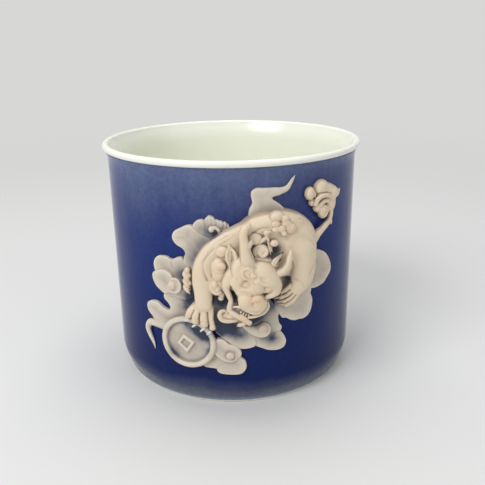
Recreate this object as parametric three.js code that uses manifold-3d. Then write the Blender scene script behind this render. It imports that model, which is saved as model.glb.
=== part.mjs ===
// A straight-walled porcelain cup with a cobalt glaze coat and an applied relief of a horned lion beast
// that holds a coin among clouds. Millimetres, +Z up, the relief faces -Y.
// The relief is drawn on the unrolled wall: u runs to the right, v up and w out from the wall.
import * as THREE from "three";
import { mergeVertices } from "three/addons/utils/BufferGeometryUtils.js";
import Module from "manifold-3d";

const wasm = await Module();
wasm.setup();

// Driving dimensions of the cup
const CUP_HEIGHT = 73;
const RIM_RADIUS = 40;
const WALL_RADIUS = 38.5;
const WALL_THICKNESS = 2.6;
const COAT_THICKNESS = 0.4;
const LIP_HEIGHT = 1.7;
const FLARE_HEIGHT = 3;
const FOOT_RADIUS = 36.8;
const FOOT_TURN_HEIGHT = 7.5;
const FOOT_RING_WIDTH = 3;
const FOOT_RING_HEIGHT = 1.8;
const FLOOR_HEIGHT = 6;
const INNER_CORNER_RADIUS = 6;
const ROUND_SEGMENTS = 48;
const JOINT_GAP = 0.3;

// How far the relief stands out, as a share of the heights drawn below
const RELIEF_DEPTH = 0.85;
const SHEET_BOTTOM = -1;
const COIN_RADIUS = 8;
const COIN_RIM = 1.6;
const COIN_HEIGHT = 2.4;
const COIN_DISH = 1.5;
const COIN_PLACE = [-13.1, 21.2];
const COIN_HOLE = 2.1;
const FRAME_SHIFT = [-0.7, -0.5];
const FRAME_TURN = 54.5;

const PORCELAIN = material(0xf2f0df, 0.22);
const BISQUE = material(0xe9e4d6, 0.75);
const COBALT = material(0x223a86, 0.15);
const CLOUD_CLAY = material(0xbdb6ac, 0.6);
const BEAST_CLAY = material(0xdccab0, 0.6);
const CLAW_SLIP = material(0xf1efe6, 0.5);

function material(color, roughness) {
  return new THREE.MeshStandardMaterial({ color, roughness, metalness: 0 });
}

// Solids from three.js geometry, and back
function solidOf(geometry) {
  const plain = new THREE.BufferGeometry();
  const source = geometry.index ? geometry.toNonIndexed() : geometry;
  plain.setAttribute("position", source.getAttribute("position"));
  const merged = mergeVertices(plain, 1e-4);
  return new wasm.Manifold(
    new wasm.Mesh({
      numProp: 3,
      vertProperties: merged.attributes.position.array,
      triVerts: new Uint32Array(merged.index.array),
    }),
  );
}

function geometryOf(solid) {
  const mesh = solid.getMesh();
  const geometry = new THREE.BufferGeometry();
  geometry.setAttribute("position", new THREE.BufferAttribute(mesh.vertProperties, 3));
  geometry.setIndex(new THREE.BufferAttribute(mesh.triVerts, 1));
  const faceted = geometry.toNonIndexed();
  faceted.computeVertexNormals();
  return faceted;
}

function joined(solids) {
  return solids.reduce((sum, solid) => sum.add(solid));
}

function largestBody(solid) {
  return solid.decompose().reduce((a, b) => (b.volume() > a.volume() ? b : a));
}

// A profile of [radius, height] pairs turned about the cup's axis
function turned(profile) {
  const points = profile.map(([r, z]) => new THREE.Vector2(r, z));
  const geometry = new THREE.LatheGeometry(points, ROUND_SEGMENTS);
  geometry.rotateX(Math.PI / 2);
  return solidOf(geometry);
}

function arc(centre, radius, fromDegrees, toDegrees, steps) {
  return Array.from({ length: steps + 1 }, (_, i) => {
    const a = THREE.MathUtils.degToRad(fromDegrees + ((toDegrees - fromDegrees) * i) / steps);
    return [centre[0] + radius * Math.cos(a), centre[1] + radius * Math.sin(a)];
  });
}

// The outside of the cup from the foot up, set in by some depth
function outsideProfile(inset) {
  const turn = Array.from({ length: 4 }, (_, i) => {
    const share = i / 3;
    const out = (WALL_RADIUS - FOOT_RADIUS) * Math.sin((share * Math.PI) / 2);
    return [FOOT_RADIUS + out - inset, THREE.MathUtils.lerp(FOOT_RING_HEIGHT, FOOT_TURN_HEIGHT, share)];
  });
  const lipBottom = CUP_HEIGHT - LIP_HEIGHT;
  return [
    ...turn,
    [WALL_RADIUS - inset, lipBottom - FLARE_HEIGHT],
    [WALL_RADIUS + 0.4 - inset, lipBottom - FLARE_HEIGHT / 3],
  ];
}

function cupBody() {
  const innerRadius = WALL_RADIUS - WALL_THICKNESS;
  const lipBottom = CUP_HEIGHT - LIP_HEIGHT;
  const lipCentre = [RIM_RADIUS - LIP_HEIGHT / 2, CUP_HEIGHT - LIP_HEIGHT / 2];
  const corner = [innerRadius - INNER_CORNER_RADIUS, FLOOR_HEIGHT + INNER_CORNER_RADIUS];
  return turned([
    [0, FOOT_RING_HEIGHT],
    ...outsideProfile(COAT_THICKNESS + 0.02),
    [RIM_RADIUS - 1, lipBottom],
    ...arc(lipCentre, LIP_HEIGHT / 2, -50, 180, 5),
    [innerRadius + 0.3, CUP_HEIGHT - 4],
    [innerRadius, CUP_HEIGHT - 12],
    ...arc(corner, INNER_CORNER_RADIUS, 0, -90, 4),
    [0, FLOOR_HEIGHT],
  ]);
}

function glazeCoat() {
  const outside = outsideProfile(0);
  const inside = outsideProfile(COAT_THICKNESS).reverse();
  return turned([...outside, ...inside, outside[0]]);
}

function footRing() {
  const top = FOOT_RING_HEIGHT - 0.02;
  const inner = FOOT_RADIUS - FOOT_RING_WIDTH;
  return turned([
    [inner, 0],
    [FOOT_RADIUS - 0.6, 0],
    [FOOT_RADIUS - 0.1, 0.5],
    [FOOT_RADIUS, top],
    [inner - 0.4, top],
    [inner, 0],
  ]);
}

// Wraps a geometry drawn on the unrolled wall, as (u, v, w), round the cup
function wrapped(geometry) {
  const position = geometry.getAttribute("position");
  for (let i = 0; i < position.count; i++) {
    const angle = position.getX(i) / WALL_RADIUS;
    const radius = WALL_RADIUS + RELIEF_DEPTH * position.getZ(i);
    position.setXYZ(i, radius * Math.sin(angle), -radius * Math.cos(angle), position.getY(i));
  }
  return solidOf(geometry);
}

// Each form of a sprig is a function of how much it is grown, so that a neighbour can be cut clear of it.
// A lump of clay: an ellipsoid at (u, v, w)
function lump(u, v, w, size, tiltDegrees = 0) {
  return (grow) => {
    const largest = Math.max(...size);
    const around = largest > 4 ? 12 : largest > 1.8 ? 10 : 8;
    const geometry = new THREE.SphereGeometry(1, around, Math.round(around * 0.55));
    geometry.scale(size[0] + grow, size[1] + grow, size[2] + grow);
    geometry.rotateZ(THREE.MathUtils.degToRad(tiltDegrees));
    geometry.translate(u, v, w);
    return wrapped(geometry);
  };
}

// A rolled strand of clay along a smooth line of (u, v, w) points, with its thickness at each point
function strand(points, radii, flatness = 1) {
  const line = new THREE.CatmullRomCurve3(points.map((p) => new THREE.Vector3(...p)));
  const radiusAt = (t) => {
    const place = Math.min(t, 0.9999) * (radii.length - 1);
    const i = Math.floor(place);
    return THREE.MathUtils.lerp(radii[i], radii[i + 1], place - i);
  };
  return (grow) => {
    const steps = 2 * points.length;
    const profile = Array.from({ length: steps + 1 }, (_, i) => {
      const t = (1 - Math.cos((Math.PI * i) / steps)) / 2;
      const ends = i === 0 || i === steps ? 0 : Math.sqrt(Math.sin((Math.PI * i) / steps));
      return new THREE.Vector2((radiusAt(t) + grow) * ends, t);
    });
    const geometry = new THREE.LatheGeometry(profile, 6);
    const position = geometry.getAttribute("position");
    const out = new THREE.Vector3(0, 0, 1);
    for (let i = 0; i < position.count; i++) {
      const t = position.getY(i);
      const ahead = line.getTangent(t);
      const side = new THREE.Vector3().crossVectors(ahead, out).normalize();
      const up = new THREE.Vector3().crossVectors(side, ahead);
      const place = line.getPoint(t);
      place.addScaledVector(side, position.getX(i));
      place.addScaledVector(up, position.getZ(i) * flatness);
      position.setXYZ(i, place.x, place.y, place.z);
    }
    return wrapped(geometry);
  };
}

// A sheet of clay with a drawn outline that is a star about its centre.
// Each ring is a share of the way out to the outline and the height there; the last one is the centre.
function sheet(centre, outline, rings) {
  const corners = outline.map(([u, v]) => new THREE.Vector3(u - centre[0], v - centre[1], 0));
  const edge = new THREE.CatmullRomCurve3(corners, true).getPoints(2 * corners.length).slice(0, -1);
  if (THREE.ShapeUtils.area(edge) < 0) edge.reverse();
  const count = edge.length;
  return (grow) => {
    const position = [];
    for (const [share, height] of [[1, SHEET_BOTTOM], ...rings.slice(0, -1)]) {
      const top = height === SHEET_BOTTOM ? height : height + grow;
      for (const p of edge) {
        const out = p.clone().setLength(p.length() * share + grow);
        position.push(centre[0] + out.x, centre[1] + out.y, top);
      }
    }
    const under = position.length / 3;
    position.push(...centre, SHEET_BOTTOM, ...centre, rings.at(-1)[1] + grow);
    const index = [];
    for (let i = 0; i < count; i++) {
      const next = (i + 1) % count;
      index.push(under, next, i);
      for (let below = 0; below < under - count; below += count) {
        const above = below + count;
        index.push(below + i, below + next, above + next, below + i, above + next, above + i);
      }
      index.push(under - count + i, under - count + next, under + 1);
    }
    const geometry = new THREE.BufferGeometry();
    geometry.setAttribute("position", new THREE.Float32BufferAttribute(position, 3));
    geometry.setIndex(index);
    return wrapped(geometry);
  };
}

// The coin: a dished disc with a raised rim
function coinDisc(grow) {
  const outer = COIN_RADIUS + grow;
  const top = COIN_HEIGHT + grow;
  const profile = [
    [0, -1],
    [outer, -1],
    [outer, top - 0.5],
    [outer - 0.5, top],
    [outer - COIN_RIM, top],
    [outer - COIN_RIM - 0.4, COIN_DISH + grow],
    [0, COIN_DISH + grow],
  ].map(([r, z]) => new THREE.Vector2(r, z));
  const geometry = new THREE.LatheGeometry(profile, 28);
  geometry.rotateX(Math.PI / 2);
  geometry.translate(COIN_PLACE[0], COIN_PLACE[1], 0);
  return wrapped(geometry);
}

function coinSquare(grow) {
  const bar = 0.9 + grow;
  const height = 0.7 + grow;
  const sides = [0, 1, 2, 3].map((i) => {
    const geometry = new THREE.BoxGeometry(2 * COIN_HOLE, bar, height + 0.6, 4, 1, 1);
    geometry.translate(0, COIN_HOLE - bar / 2, COIN_DISH + height / 2 + 0.1);
    geometry.rotateZ((i * Math.PI) / 2 + THREE.MathUtils.degToRad(FRAME_TURN));
    geometry.translate(COIN_PLACE[0] + FRAME_SHIFT[0], COIN_PLACE[1] + FRAME_SHIFT[1], 0);
    return wrapped(geometry);
  });
  return joined(sides);
}

// A curled lock: a flat round lump with a bead on it
function curl(u, v, w, radius) {
  return [
    lump(u, v, w, [radius, radius, radius * 0.6]),
    lump(u + radius * 0.2, v + radius * 0.1, w + radius * 0.55, [radius * 0.42, radius * 0.42, radius * 0.4]),
  ];
}

// Outlines on the unrolled wall, each drawn round from its right or top side
const TORSO = [
  [-10.4, 36], [-10.8, 40], [-9.8, 44.2], [-7.4, 49.9], [-3.1, 53.7], [1.5, 56.5], [5.4, 58.3],
  [10.9, 59.8], [16.3, 58.5], [21.4, 54.3], [22.8, 48.6], [22.4, 42], [17, 39.8], [12, 41], [8, 38],
  [2, 36.5], [-5.6, 36],
];
const UPPER_LEFT = [
  [-9.4, 54.6], [-11.6, 55.8], [-14.1, 54.8], [-16.2, 53.2], [-16.4, 51.2], [-14.6, 49.4], [-13, 47.9],
  [-13.2, 46], [-10, 44.2], [-7, 47], [-5.4, 51.4], [-7.6, 53.2],
];
const REAR_UPPER = [
  [-0.9, 55.2], [-1.8, 56.8], [-4.6, 57.8], [-6.3, 58.6], [-7.6, 57.5], [-9.4, 57.2], [-10.6, 55.8],
  [-10.2, 53.4], [-6, 50.6], [-1.4, 52.4],
];
const LEFT = [
  [-13.4, 45.6], [-15.2, 46.3], [-17.2, 45.5], [-19.6, 46], [-22.2, 45.2], [-23.4, 43.2], [-22.8, 40.4],
  [-20.4, 37.4], [-17, 34.8], [-12.4, 34.2], [-10.4, 38], [-11.2, 43.6],
];
const LEFT_LOBE = [
  [-20.1, 42.1], [-21.9, 41.5], [-23.5, 39.8], [-23.1, 38], [-21.1, 35.8], [-19.6, 35], [-17.4, 35.5],
  [-15.2, 36], [-14.4, 37.8], [-15.6, 39.8], [-17.2, 41],
];
const LOWER_LEFT = [
  [-12.6, 37], [-18.2, 36.2], [-20.2, 34.2], [-19.4, 32.3], [-18.6, 30.8], [-19, 28], [-19.6, 24.6],
  [-12.6, 25.4], [-9.4, 30.6], [-9.8, 35.6],
];
const LOWER_LEFT_LOBE = [
  [-19, 29.9], [-21.1, 30.4], [-23, 31.5], [-25, 31.4], [-26.8, 30], [-26.6, 27.9], [-24.6, 25.8],
  [-21.4, 24], [-17.4, 23.8], [-16.6, 28],
];
const COIN_CLOUD = [
  [1.7, 17], [2.9, 15.2], [3.1, 13.4], [2.2, 11.7], [-1.1, 11.1], [-4.2, 11.4], [-6, 13], [-9, 13.6],
  [-9.4, 16.6], [-6, 20.4], [-1, 20.6],
];
const COIN_CLOUD_CURL = [
  [-5.6, 22.4], [-3.4, 22.7], [-1.4, 21.1], [1, 19.9], [1.7, 18.2], [0.6, 16.3], [-1.2, 15.5],
  [-3.4, 15.9], [-5.4, 17.6], [-6.4, 20],
];
const BOTTOM = [
  [12.1, 28.4], [13.1, 25.4], [13, 23.9], [14.3, 21.6], [13.9, 18.6], [11, 18], [8, 19], [5.4, 19.9],
  [2.2, 19.4], [-1.6, 21.4], [-5, 24.8], [-5.2, 30], [-1, 33.2], [6, 33.2], [11.6, 31.4],
];
const RIGHT = [
  [12.4, 28.6], [15.9, 26.6], [18.9, 26.1], [21.6, 26.6], [23, 28.9], [23.1, 31.9], [22.4, 34.2],
  [21.6, 37.4], [16, 39.6], [11.4, 37], [10.8, 32],
];
const FAR_RIGHT = [
  [21.4, 36], [23.6, 34.6], [26.6, 34.8], [28.9, 36.4], [30.4, 38.6], [29.9, 41.6], [28, 44.3],
  [24.3, 46.2], [20.6, 45.6], [19.4, 40.8],
];
const TOP = [
  [4.1, 57.6], [4.3, 60.2], [5.1, 62.5], [4.8, 64.4], [6.3, 65.7], [9.2, 65.6], [11.8, 65.4],
  [12.4, 63.9], [10.9, 62.5], [12, 61.3], [13.4, 59.6], [12.8, 57], [7, 56.2],
];

// How a sheet rises from its outline to its centre
const BODY_RINGS = [[1, 1.4], [0.92, 3.4], [0.72, 4.6], [0.4, 4.8], [0, 4.4]];
const CLOUD_RINGS = [[1, 0.9], [0.9, 1.3], [0, 0.9]];
const RAISED_RINGS = [[1, 1.4], [0.88, 1.9], [0, 1.3]];

// The sprigs, from the front of the relief to the back
const SPRIGS = [
  ["nose", BEAST_CLAY, [lump(5, 37.7, 8.9, [1.7, 1.4, 1.5])]],
  ["left_eye", BEAST_CLAY, [lump(2.6, 41.9, 8.3, [1.1, 1.1, 1])]],
  ["right_eye", BEAST_CLAY, [lump(7.6, 40, 8.5, [0.9, 0.9, 0.9])]],
  ["left_brow_curl", BEAST_CLAY, curl(2.7, 45.4, 7.8, 1.5)],
  [
    "tongue",
    BEAST_CLAY,
    [
      strand([[1.2, 32.6, 5.4], [2.3, 31, 5.9], [3.5, 29.3, 5.5]], [0.8, 0.9, 0.8]),
    ],
  ],
  [
    "head",
    BEAST_CLAY,
    [
      lump(5.8, 43, 4.4, [5.1, 5, 4.4]),
      lump(7.4, 43.4, 6.6, [3.3, 3.6, 2.2]),
      lump(1.2, 44.6, 4.6, [2.3, 4.4, 2.9]),
      lump(4.2, 40, 5.6, [3.7, 3, 3.3]),
      lump(2.4, 38, 7.3, [2.2, 2.2, 2.1]),
      lump(6.7, 36.3, 7.3, [1.8, 1.8, 1.9]),
      lump(4.4, 35.4, 6.6, [3.2, 1.8, 1.9]),
      lump(9.1, 38.2, 6.2, [1.4, 1.4, 1.7]),
    ],
  ],
  [
    "lower_jaw",
    BEAST_CLAY,
    [
      lump(2.4, 32.7, 4.4, [2.4, 1.4, 0.9], -28),
      strand([[-0.6, 32.4, 4.8], [0.8, 31.5, 5.1], [2.3, 29.6, 5]], [0.9, 0.9, 0.6]),
      strand([[2.1, 29.2, 4.7], [1.3, 28.6, 4.5], [0.3, 27.7, 3.9]], [0.8, 0.7, 0.3]),
    ],
  ],
  [
    "cheek_lock",
    BEAST_CLAY,
    [
      strand(
        [
          [1, 46.6, 5.6], [-0.9, 43.2, 6], [-1.9, 40.2, 5.8], [-1, 37, 5.4], [-0.7, 34.8, 5],
          [-0.6, 32.6, 4.5],
        ],
        [1.4, 1.8, 1.1, 0.8, 0.8, 0.8],
      ),
    ],
  ],
  [
    "beard_lock",
    BEAST_CLAY,
    [
      strand(
        [[-2.6, 31.9, 2.6], [-3.5, 31.8, 2.7], [-3.5, 30.2, 2.8], [-2, 29.4, 2.8], [1, 29.6, 2.8]],
        [0.5, 0.7, 0.8, 0.85, 0.8],
      ),
    ],
  ],
  [
    "left_horn",
    BEAST_CLAY,
    [
      strand([[2.9, 47.4, 6.2], [2.4, 51, 6.8], [2.1, 54.6, 6.8], [3.4, 57.9, 6.3]], [2, 1.5, 1.1, 0.4], 1.4),
      strand([[2.9, 51.6, 7.2], [4, 53.8, 7.1]], [0.8, 0.3]),
    ],
  ],
  [
    "right_horn",
    BEAST_CLAY,
    [strand([[10, 42.9, 6.3], [12, 45, 7.1], [12.9, 47.6, 7.2], [13.1, 49.8, 7]], [1.4, 1.1, 0.8, 0.35])],
  ],
  ["left_ear", BEAST_CLAY, [lump(-0.6, 48.6, 5.6, [1.2, 3.4, 1])]],
  [
    "large_mane_curl",
    BEAST_CLAY,
    [
      lump(-3.3, 45.6, 3.9, [2.2, 2.5, 2.1]),
      lump(-3.4, 42.9, 3.6, [2, 1.8, 1.7]),
      lump(-2.8, 45.9, 5.7, [0.9, 0.9, 0.8]),
    ],
  ],
  [
    "upper_mane_curl",
    BEAST_CLAY,
    [lump(-2.7, 50.4, 3.6, [2.1, 2.6, 1.4]), lump(-2.6, 50.2, 4.7, [1.1, 1.2, 0.8])],
  ],
  ["middle_mane_curl", BEAST_CLAY, curl(-5.1, 40.5, 4, 1.4)],
  [
    "lower_mane_curl",
    BEAST_CLAY,
    [lump(-4.4, 38.7, 3.5, [1.2, 1.1, 1.1]), lump(-3.4, 37, 3.1, [1, 1.2, 0.9])],
  ],
  ["neck_curl", BEAST_CLAY, curl(6.2, 50.1, 5.2, 2.2)],
  ["neck_bead", BEAST_CLAY, [lump(9.5, 51.9, 5.5, [1.2, 1.1, 1])]],
  [
    "neck_flame",
    BEAST_CLAY,
    [
      strand([[8.4, 49.6, 5.2], [8, 52.4, 5.4], [7.6, 55.2, 5.4]], [0.6, 0.7, 0.9]),
    ],
  ],
  [
    "right_neck_flame",
    BEAST_CLAY,
    [strand([[9.8, 45.8, 5.4], [10.4, 47.4, 5.6], [11.8, 49.3, 5.5]], [1, 0.85, 0.35])],
  ],
  ["upper_spine_knob", BEAST_CLAY, [lump(10.8, 58.4, 4, [1.8, 1.4, 1.5])]],
  ["left_spine_knob", BEAST_CLAY, [lump(9.9, 56.5, 4.8, [1.1, 1.1, 1])]],
  ["right_spine_knob", BEAST_CLAY, [lump(13.8, 55.9, 4.7, [1.3, 1.4, 1.1])]],
  ["lower_spine_knob", BEAST_CLAY, [lump(11.8, 54.4, 4.9, [1.1, 1.2, 1])]],
  ["rear_spine_knob", BEAST_CLAY, [lump(15.9, 56.3, 4.2, [0.9, 1.3, 0.9])]],
  [
    "left_paw",
    BEAST_CLAY,
    [
      lump(-7.9, 33.4, 3, [2.7, 2.2, 2]),
      strand([[-9.8, 33.4, 2.8], [-11.4, 31.4, 3.1], [-12.2, 29.7, 2.7]], [1.2, 1.3, 1]),
      strand([[-9.2, 32.8, 3.2], [-9.9, 30.5, 3.5], [-10.2, 28.7, 3.1]], [1.1, 1.3, 1.1]),
      strand([[-7.8, 32.6, 3.3], [-7.8, 29.8, 3.6], [-7.8, 27.9, 3.2]], [1.1, 1.2, 1.1]),
      strand([[-6.3, 32.2, 3], [-6, 29, 3.2], [-6, 26.4, 2.7]], [0.9, 0.9, 0.9]),
    ],
  ],
  [
    "first_left_claw",
    CLAW_SLIP,
    [strand([[-12.4, 28.9, 2.6], [-13, 28.3, 2.6], [-13.7, 27.7, 2.2]], [0.5, 0.45, 0.2])],
  ],
  [
    "second_left_claw",
    CLAW_SLIP,
    [strand([[-10.3, 27.8, 2.8], [-10.9, 27.1, 2.8], [-11.6, 26.3, 2.4]], [0.5, 0.45, 0.2])],
  ],
  [
    "third_left_claw",
    CLAW_SLIP,
    [strand([[-8.1, 26.9, 2.8], [-8.7, 26, 2.8], [-9.3, 25.1, 2.4]], [0.5, 0.45, 0.2])],
  ],
  [
    "fourth_left_claw",
    CLAW_SLIP,
    [strand([[-6.5, 25.6, 2.6], [-7, 24.9, 2.6], [-7.6, 24.2, 2.2]], [0.5, 0.45, 0.2])],
  ],
  [
    "left_foreleg",
    BEAST_CLAY,
    [
      strand(
        [
          [-2.2, 52.7, 2.4], [-5.8, 49.4, 2.8], [-7.9, 45, 3], [-8.2, 40.6, 3], [-7.9, 37.2, 3],
          [-7.8, 34.2, 2.8],
        ],
        [2.2, 2.5, 2.5, 2.4, 2.3, 2.4],
      ),
    ],
  ],
  [
    "elbow_tuft",
    BEAST_CLAY,
    [
      lump(-12.1, 43.8, 2, [0.9, 0.9, 0.9]),
      lump(-12.4, 42.2, 1.8, [1, 1.3, 1.1], 20),
      lump(-12.4, 40.2, 1.8, [1, 1.4, 1.1], 20),
      lump(-12.3, 38.2, 1.7, [0.9, 1.3, 1], 25),
    ],
  ],
  [
    "right_paw",
    BEAST_CLAY,
    [
      lump(16.4, 37.2, 2.7, [2.5, 2.4, 2]),
      strand([[15.2, 38.8, 3.4], [13.5, 37.5, 3.7], [12.1, 36.5, 3.1]], [0.8, 0.85, 0.5]),
      strand([[15.8, 37.7, 3.6], [13.8, 36.2, 3.9], [11.4, 34.9, 3.1]], [0.85, 0.9, 0.5]),
      strand([[16.3, 36.7, 3.6], [14.5, 35, 3.9], [12.2, 33.5, 3.1]], [0.85, 0.9, 0.5]),
      strand([[16.8, 35.6, 3.4], [15.1, 33.9, 3.6], [13.2, 32.4, 2.9]], [0.9, 0.95, 0.6]),
    ],
  ],
  [
    "right_foreleg",
    BEAST_CLAY,
    [strand([[18, 48, 2], [18.2, 43.2, 2.4], [17.9, 39.8, 2.6], [16.6, 37.4, 2.8]], [4.3, 4, 3.5, 2.6])],
  ],
  [
    "body",
    BEAST_CLAY,
    [
      sheet([8, 48], TORSO, BODY_RINGS),
      lump(16.6, 49.6, 0.8, [5.6, 6.6, 4.9]),
      lump(11, 56.2, 0.6, [8.4, 3.2, 4.7], -4),
    ],
  ],
  [
    "tail_stem",
    BEAST_CLAY,
    [
      strand(
        [[21, 50.4, 1.4], [23.6, 52, 1.8], [26.4, 53.2, 1.9], [27.9, 55.4, 2], [28.2, 57.2, 2]],
        [2.2, 1.2, 1, 0.95, 0.9],
      ),
    ],
  ],
  [
    "tail_tuft",
    BEAST_CLAY,
    [
      lump(24.9, 63.5, 1.2, [2.3, 2.4, 1.8], -10),
      lump(27.4, 62, 1.2, [2.7, 2.6, 1.9], -20),
      lump(28.4, 59.3, 1.3, [2.2, 2.6, 1.8]),
      strand([[29.4, 61.6, 1.3], [31.8, 61.5, 1.1], [34, 62.2, 0.6]], [1.7, 1, 0.3]),
      strand([[23, 60.2, 2.2], [23.4, 61.8, 2.5], [25.6, 62.3, 2.6], [26.7, 60.4, 2.4]], [0.7, 0.8, 0.8, 0.5]),
    ],
  ],
  [
    "left_tail_curl",
    BEAST_CLAY,
    [
      lump(20.9, 62.9, 1.3, [1.5, 1.9, 1.4]),
      lump(21.8, 60.6, 1.1, [1.1, 1.2, 1.1]),
    ],
  ],
  [
    "lower_tail_curl",
    BEAST_CLAY,
    [
      lump(25.3, 57.3, 1.7, [1.6, 2, 1.6], 8),
      lump(23.5, 58.7, 1.4, [1.3, 1.4, 1.3]),
    ],
  ],
  ["coin_square", CLOUD_CLAY, [coinSquare]],
  ["coin", CLOUD_CLAY, [coinDisc]],
  [
    "left_cloud_curl",
    CLOUD_CLAY,
    [
      lump(-16.1, 37.8, 1.6, [1.6, 2.3, 1], 25),
      lump(-17, 37.9, 2.4, [0.85, 0.9, 0.7]),
    ],
  ],
  ["left_cloud_lobe", CLOUD_CLAY, [sheet([-19.2, 38.6], LEFT_LOBE, RAISED_RINGS)]],
  [
    "coin_cloud_curl",
    CLOUD_CLAY,
    [
      sheet([-2.6, 19], COIN_CLOUD_CURL, RAISED_RINGS),
      lump(-1.5, 17.7, 1.9, [0.9, 0.9, 0.8]),
    ],
  ],
  [
    "bottom_cloud_curl",
    CLOUD_CLAY,
    [
      strand([[2.4, 26.3, 0.9], [5, 25.2, 1.2], [7.8, 25.2, 1.4]], [0.8, 1.5, 2.1]),
      lump(7.6, 25.6, 2.5, [1, 1, 0.8]),
    ],
  ],
  [
    "upper_cloud_bead",
    CLOUD_CLAY,
    [
      lump(-5.5, 55.1, 1.4, [0.9, 1, 0.9]),
      lump(-4.3, 54.9, 1.2, [0.9, 0.8, 0.7]),
    ],
  ],
  ["upper_left_cloud", CLOUD_CLAY, [sheet([-10.8, 50.4], UPPER_LEFT, CLOUD_RINGS)]],
  ["rear_upper_cloud", CLOUD_CLAY, [sheet([-5.6, 54.2], REAR_UPPER, CLOUD_RINGS)]],
  ["left_cloud", CLOUD_CLAY, [sheet([-16.4, 41.2], LEFT, CLOUD_RINGS)]],
  [
    "lower_left_cloud",
    CLOUD_CLAY,
    [
      sheet([-15, 31], LOWER_LEFT, CLOUD_RINGS),
      sheet([-22.2, 28], LOWER_LEFT_LOBE, CLOUD_RINGS),
      strand(
        [
          [-20.6, 24.4, 0.3], [-24.2, 24.6, 0.4], [-26.8, 23.8, 0.4], [-27.7, 21.6, 0.4],
          [-26.6, 18.6, 0.4], [-25.4, 15.2, 0.2],
        ],
        [1.3, 1.3, 1.1, 0.9, 0.6, 0.25],
      ),
    ],
  ],
  ["coin_cloud", CLOUD_CLAY, [sheet([-2.2, 15.6], COIN_CLOUD, CLOUD_RINGS)]],
  ["bottom_cloud", CLOUD_CLAY, [sheet([4.6, 25.6], BOTTOM, CLOUD_RINGS)]],
  ["right_cloud", CLOUD_CLAY, [sheet([17.2, 32], RIGHT, CLOUD_RINGS)]],
  ["far_right_cloud", CLOUD_CLAY, [sheet([24.6, 40.4], FAR_RIGHT, CLOUD_RINGS)]],
  [
    "top_cloud",
    CLOUD_CLAY,
    [
      sheet([7.6, 61], TOP, CLOUD_RINGS),
      strand(
        [[9.6, 64.4, 0.3], [12.6, 64.5, 0.4], [15, 65.6, 0.4], [16.2, 67.2, 0.3], [17, 68.2, 0.2]],
        [1.1, 0.95, 0.7, 0.4, 0.2],
      ),
    ],
  ],
];

function mesh(name, solid, material) {
  const made = new THREE.Mesh(geometryOf(solid), material);
  made.name = name;
  return made;
}

function relief() {
  const group = new THREE.Group();
  const wall = WALL_RADIUS + JOINT_GAP;
  const cutter = new THREE.CylinderGeometry(wall, wall, CUP_HEIGHT, ROUND_SEGMENTS);
  cutter.rotateX(Math.PI / 2);
  cutter.translate(0, 0, CUP_HEIGHT / 2);
  let inFront = solidOf(cutter);
  for (const [name, clay, forms] of SPRIGS) {
    const whole = joined(forms.map((form) => form(0)));
    group.add(mesh(name, largestBody(whole.subtract(inFront)), clay));
    inFront = inFront.add(joined(forms.map((form) => form(JOINT_GAP))));
  }
  return group;
}

const cup = new THREE.Group();
cup.add(mesh("cup_body", cupBody(), PORCELAIN));
cup.add(mesh("cobalt_glaze_coat", glazeCoat(), COBALT));
cup.add(mesh("foot_ring", footRing(), BISQUE));
cup.add(relief());

// The origin is the bottom centre of the whole cup with its relief
const box = new THREE.Box3().setFromObject(cup);
cup.position.y = -(box.min.y + box.max.y) / 2;

export default cup;
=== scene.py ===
# A porcelain cup with a cobalt glaze and a cream relief of a horned lion beast with a coin among clouds.
import math

import bpy
import numpy as np
from mathutils import Matrix, Vector


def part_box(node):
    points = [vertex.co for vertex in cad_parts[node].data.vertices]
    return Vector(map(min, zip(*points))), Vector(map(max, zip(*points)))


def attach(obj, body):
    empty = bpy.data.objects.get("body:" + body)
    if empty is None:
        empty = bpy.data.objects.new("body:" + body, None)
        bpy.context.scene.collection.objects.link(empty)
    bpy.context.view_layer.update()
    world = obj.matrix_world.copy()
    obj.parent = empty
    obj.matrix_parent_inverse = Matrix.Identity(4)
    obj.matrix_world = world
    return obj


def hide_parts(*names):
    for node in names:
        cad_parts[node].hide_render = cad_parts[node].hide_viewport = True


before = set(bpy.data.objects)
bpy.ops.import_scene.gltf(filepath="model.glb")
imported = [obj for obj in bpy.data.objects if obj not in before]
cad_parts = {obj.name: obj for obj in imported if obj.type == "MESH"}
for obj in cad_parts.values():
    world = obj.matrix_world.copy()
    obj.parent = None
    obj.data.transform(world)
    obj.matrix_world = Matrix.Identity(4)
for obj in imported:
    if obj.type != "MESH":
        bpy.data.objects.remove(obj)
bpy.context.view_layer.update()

# The photograph's view: where the camera stands from the cup's axis, in metres, and its turn in radians
CAMERA_DISTANCE = 0.184
CAMERA_HEIGHT = 0.1019
CAMERA_PITCH = 0.33675
CAMERA_ROLL = 0.013743
CAMERA_YAW = -0.016595
CAMERA_LENS = 43.116
SENSOR_WIDTH = 36
CLIP_START = 0.01

# The cup, in millimetres
MM = 0.001
CUP_HEIGHT = 73.0
RIM_RADIUS = 40.0
WALL_RADIUS = 38.5
WALL_THICKNESS = 2.6
FOOT_RADIUS = 36.8
FOOT_TURN_HEIGHT = 7.5
FOOT_RING_HEIGHT = 1.8
FOOT_RING_WIDTH = 3.0
FLOOR_HEIGHT = 6.0
INNER_CORNER_RADIUS = 6.0
GLAZE_START = 0.9
GLAZE_END = 71.3
LIP_ROUNDING = 1.0
LIP_ROUNDING_START = -40
LIP_FLARE_START = 68.2
LIP_FLARE_HEIGHT = 3.6
LIP_FLARE = 1.25
LIP_FLARE_POWER = 1.6
COAT_DEPTH = 0.35
WALL_BELOW_COAT = 0.3
FOOT_RING_ROOT = 1.2
RECESS_EDGE = 1.4
FOOT_INNER_ROUNDING = 0.5
FOOT_OUTER_ROUNDING = 0.6
FOOT_INNER_INSET = 0.4
FOOT_OUTER_INSET = 0.75
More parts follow.
